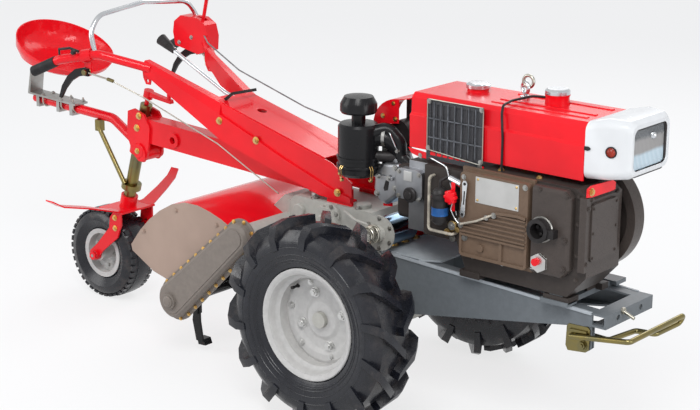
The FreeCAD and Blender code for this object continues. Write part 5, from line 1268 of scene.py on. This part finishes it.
class TRACTOR_OT_tail(bpy.types.Operator):
    """Adds the clamps, the bolts and the washers of the beam, the column, the fork and the seat."""
    bl_idname = "tractor.tail"
    bl_label = "Tail details"

    def execute(self, context):
        clamp = [((-1140, -39.0, 696), NEAR, 1.3), ((-1152, -39.0, 652), NEAR, 1.3),
                 ((-1144, -48.0, 573), NEAR, 1.1)]
        clamp += [((x, -y, z), FAR, s) for (x, y, z), _, s in clamp]
        fasten("clamp_bolts", clamp, "brass")
        knuckle = Build().disc((-1144, -38.5, 573), NEAR, 27, 9.5, 36, 3.0).mirrored()
        knuckle.piece("beam_knuckle", "red")
        fork = [((-1236, s * 78.0, z), (0, s, 0), 1.1) for s in (-1, 1) for z in (322, 284)]
        fasten("fork_bolts", fork, "brass", "fork")
        bolts = Build()
        rows = []
        half = [(24, 699), (24, 664), (12, 651)]
        for x in (-1659, -1561, -1497):
            bolts.tube([(x, -y, z) for y, z in half] + [(x, y, z) for y, z in half[::-1]], 3.4, 10, sides=10)
            rows += [((x, y, 688.5 - (x + 1538) * 0.04), UP, 0.9) for y in (-24, 24)]
        bolts.piece("seat_clamps", "zinc")
        fasten("seat_clamp_nuts", rows)
        return {"FINISHED"}


class TRACTOR_OT_tiller(bpy.types.Operator):
    """Adds the bolts of the chain case and the tiller's hood."""
    bl_idname = "tractor.tiller"
    bl_label = "Tiller details"

    def execute(self, context):
        # centres of the case's two ends in X and Z, and Y of the flange's face and the body's
        low = (-691.0, 206.0)
        top = (-405.0, 470.0)
        flange, body = -314.0, -342.0
        rows = [((x, flange, z), NEAR, 0.75) for x, z in round_two(*low, 66.0, *top, 52.0, 26)]
        fasten("chain_case_bolts", rows, "brass")
        panel = Build().slab(round_two(*low, 44.0, *top, 30.0, 60), body - 2.6, body + 1.0)
        panel.piece("chain_case_panel", "brown", edge=1.6)
        cap = Build().lathe([(0, 0), (0, 19), (4, 19), (6, 15), (8, 13), (9, 0)], (low[0], -354.0, low[1]), NEAR, 40)
        cap.piece("rotor_cap", "brown")
        plates = [((x, s * 300.0, z), (0, s, 0), 0.9) for s in (-1, 1)
                  for x, z in ((-520, 484), (-700, 498), (-852, 400))]
        fasten("side_plate_bolts", plates, "taupe")
        return {"FINISHED"}


class TRACTOR_OT_belts(bpy.types.Operator):
    """Adds the drive belts between the engine's and the clutch's pulley."""
    bl_idname = "tractor.belts"
    bl_label = "Belts"

    def execute(self, context):
        path = round_two(*CLUTCH, 74.0, *map(float, CRANK), 62.0, 80)
        for k, y in enumerate((148.0, 162.0)):
            Build().hoop([(x, y, z) for x, z in path], 5.0, 6).piece("belt_%d" % k, "hose")
        pulley = Build().lathe([(0, 0), (0, 76), (4, 76), (10, 66), (14, 76), (20, 76), (26, 66), (30, 76), (34, 76),
                                (34, 0)], (CLUTCH[0], 138, CLUTCH[1]), FAR, 48)
        pulley.piece("clutch_pulley", "dark", smooth=25)
        return {"FINISHED"}


# Camera and stage

LENS_PX = 1732.0
IMAGE_W = 700
IMAGE_H = 410
CAMERA_AT = (3141.0, -4029.0, 2023.0)
AZIMUTH = 39.7
ELEVATION = 15.9
ROLL = 0.4
PRINCIPAL = (355.4, 208.9)
SENSOR = 36.0
# half of the floor's side in metres, its own light where it is seen, and the light of the surroundings
FLOOR_HALF = 30.0
FLOOR_GLOW = 0.74
FILL_COLOUR = (0.86, 0.90, 1.0, 1.0)
FILL_LIGHT = 0.56


def point_camera(camera):
    """Places the camera as the photograph's was."""
    a = math.radians(AZIMUTH)
    e = math.radians(ELEVATION)
    look = Vector((-math.sin(a) * math.cos(e), math.cos(a) * math.cos(e), -math.sin(e)))
    turn = look.to_track_quat("-Z", "Y").to_matrix().to_4x4()
    camera.matrix_world = Matrix.Translation(at(*CAMERA_AT)) @ turn @ Matrix.Rotation(math.radians(ROLL), 4, "Z")


class TRACTOR_OT_stage(bpy.types.Operator):
    """Makes the floor, the backdrop, the lamps and the camera."""
    bl_idname = "tractor.stage"
    bl_label = "Stage"

    def execute(self, context):
        scene = context.scene
        data = bpy.data.cameras.new("photo_camera")
        data.sensor_width = SENSOR
        data.lens = SENSOR * LENS_PX / IMAGE_W
        data.shift_x = -(PRINCIPAL[0] - IMAGE_W / 2.0) / IMAGE_W
        data.shift_y = (PRINCIPAL[1] - IMAGE_H / 2.0) / IMAGE_W
        data.clip_end = 100.0
        camera = bpy.data.objects.new("photo_camera", data)
        scene.collection.objects.link(camera)
        point_camera(camera)
        scene.camera = camera
        self.floor(scene)
        self.world(scene)
        self.lamps(scene, scene.tractor_sizes.lift)
        scene.view_settings.view_transform = "Standard"
        return {"FINISHED"}

    def seen_by(self, tree):
        """One for the rays that show the background: the camera's, glossy ones and those through glass."""
        path = tree.nodes.new("ShaderNodeLightPath")
        seen = path.outputs["Is Camera Ray"]
        for other in ("Is Glossy Ray", "Is Transmission Ray"):
            either = tree.nodes.new("ShaderNodeMath")
            either.operation = "MAXIMUM"
            tree.links.new(seen, either.inputs[0])
            tree.links.new(path.outputs[other], either.inputs[1])
            seen = either.outputs[0]
        return seen

    def floor(self, scene):
        mesh = bpy.data.meshes.new("floor")
        corners = [(x * FLOOR_HALF, y * FLOOR_HALF, 0.0) for x, y in ((-1, -1), (1, -1), (1, 1), (-1, 1))]
        mesh.from_pydata(corners, [], [(0, 1, 2, 3)])
        floor = bpy.data.objects.new("floor", mesh)
        scene.collection.objects.link(floor)
        s = Shade("floor_white")
        glow = s.tree.nodes.new("ShaderNodeEmission")
        glow.inputs["Color"].default_value = (1.0, 1.0, 1.0, 1.0)
        seen = Value(s, self.seen_by(s.tree))
        s.done((0.86, 0.86, 0.86), 0.9)
        mix = s.tree.nodes.new("ShaderNodeMixShader")
        s.feed(mix.inputs[0], seen * FLOOR_GLOW)
        s.tree.links.new(s.shader.outputs[0], mix.inputs[1])
        s.tree.links.new(glow.outputs[0], mix.inputs[2])
        out = next(n for n in s.tree.nodes if n.type == "OUTPUT_MATERIAL")
        s.tree.links.new(mix.outputs[0], out.inputs[0])
        mesh.materials.append(s.material)

    def world(self, scene):
        world = bpy.data.worlds.new("studio")
        scene.world = world
        world.use_nodes = True
        tree = world.node_tree
        tree.nodes.clear()
        out = tree.nodes.new("ShaderNodeOutputWorld")
        fill = tree.nodes.new("ShaderNodeBackground")
        fill.inputs[0].default_value = FILL_COLOUR
        fill.inputs[1].default_value = FILL_LIGHT
        white = tree.nodes.new("ShaderNodeBackground")
        white.inputs[1].default_value = 1.0
        mix = tree.nodes.new("ShaderNodeMixShader")
        tree.links.new(self.seen_by(tree), mix.inputs[0])
        tree.links.new(fill.outputs[0], mix.inputs[1])
        tree.links.new(white.outputs[0], mix.inputs[2])
        tree.links.new(mix.outputs[0], out.inputs[0])

    def lamps(self, scene, lift):
        # columns: name, place in millimetres, size in metres, watts
        rows = [("key", (1800, -3000, 4400), 2.2, 150.0), ("side", (-3400, -3000, 2200), 2.4, 60.0),
                ("back", (-1200, 3600, 3400), 2.6, 60.0), ("front", (4400, -400, 1500), 2.0, 45.0)]
        for name, place, size, watts in rows:
            data = bpy.data.lights.new(name, "AREA")
            data.size = size
            data.energy = watts * lift
            lamp = bpy.data.objects.new(name, data)
            scene.collection.objects.link(lamp)
            lamp.location = at(*place)
            lamp.rotation_euler = (at(0, 0, 500) - lamp.location).to_track_quat("-Z", "Y").to_euler()


class TRACTOR_PT_panel(bpy.types.Panel):
    """Lists the makers of the tractor's pieces."""
    bl_label = "Walking tractor"
    bl_idname = "TRACTOR_PT_panel"
    bl_space_type = "VIEW_3D"
    bl_region_type = "UI"
    bl_category = "Tractor"

    def draw(self, context):
        for operator in MAKERS:
            self.layout.operator(operator.bl_idname)
        for key in TractorPaint.__annotations__:
            self.layout.prop(context.scene.tractor_paint, key)
        for key in TractorSizes.__annotations__:
            self.layout.prop(context.scene.tractor_sizes, key)


MAKERS = [TRACTOR_OT_finishes, TRACTOR_OT_engine, TRACTOR_OT_hood, TRACTOR_OT_intake, TRACTOR_OT_wheels,
          TRACTOR_OT_handlebar, TRACTOR_OT_chassis, TRACTOR_OT_tail, TRACTOR_OT_tiller, TRACTOR_OT_belts,
          TRACTOR_OT_stage]
CLASSES = [TractorPaint, TractorSizes, *MAKERS, TRACTOR_PT_panel]


def register():
    for item in CLASSES:
        bpy.utils.register_class(item)
    bpy.types.Scene.tractor_paint = PointerProperty(type=TractorPaint)
    bpy.types.Scene.tractor_sizes = PointerProperty(type=TractorSizes)


def unregister():
    del bpy.types.Scene.tractor_sizes
    del bpy.types.Scene.tractor_paint
    for item in reversed(CLASSES):
        bpy.utils.unregister_class(item)


def main():
    register()
    for operator in MAKERS:
        group, name = operator.bl_idname.split(".")
        getattr(getattr(bpy.ops, group), name)()


if __name__ == "__main__":
    main()
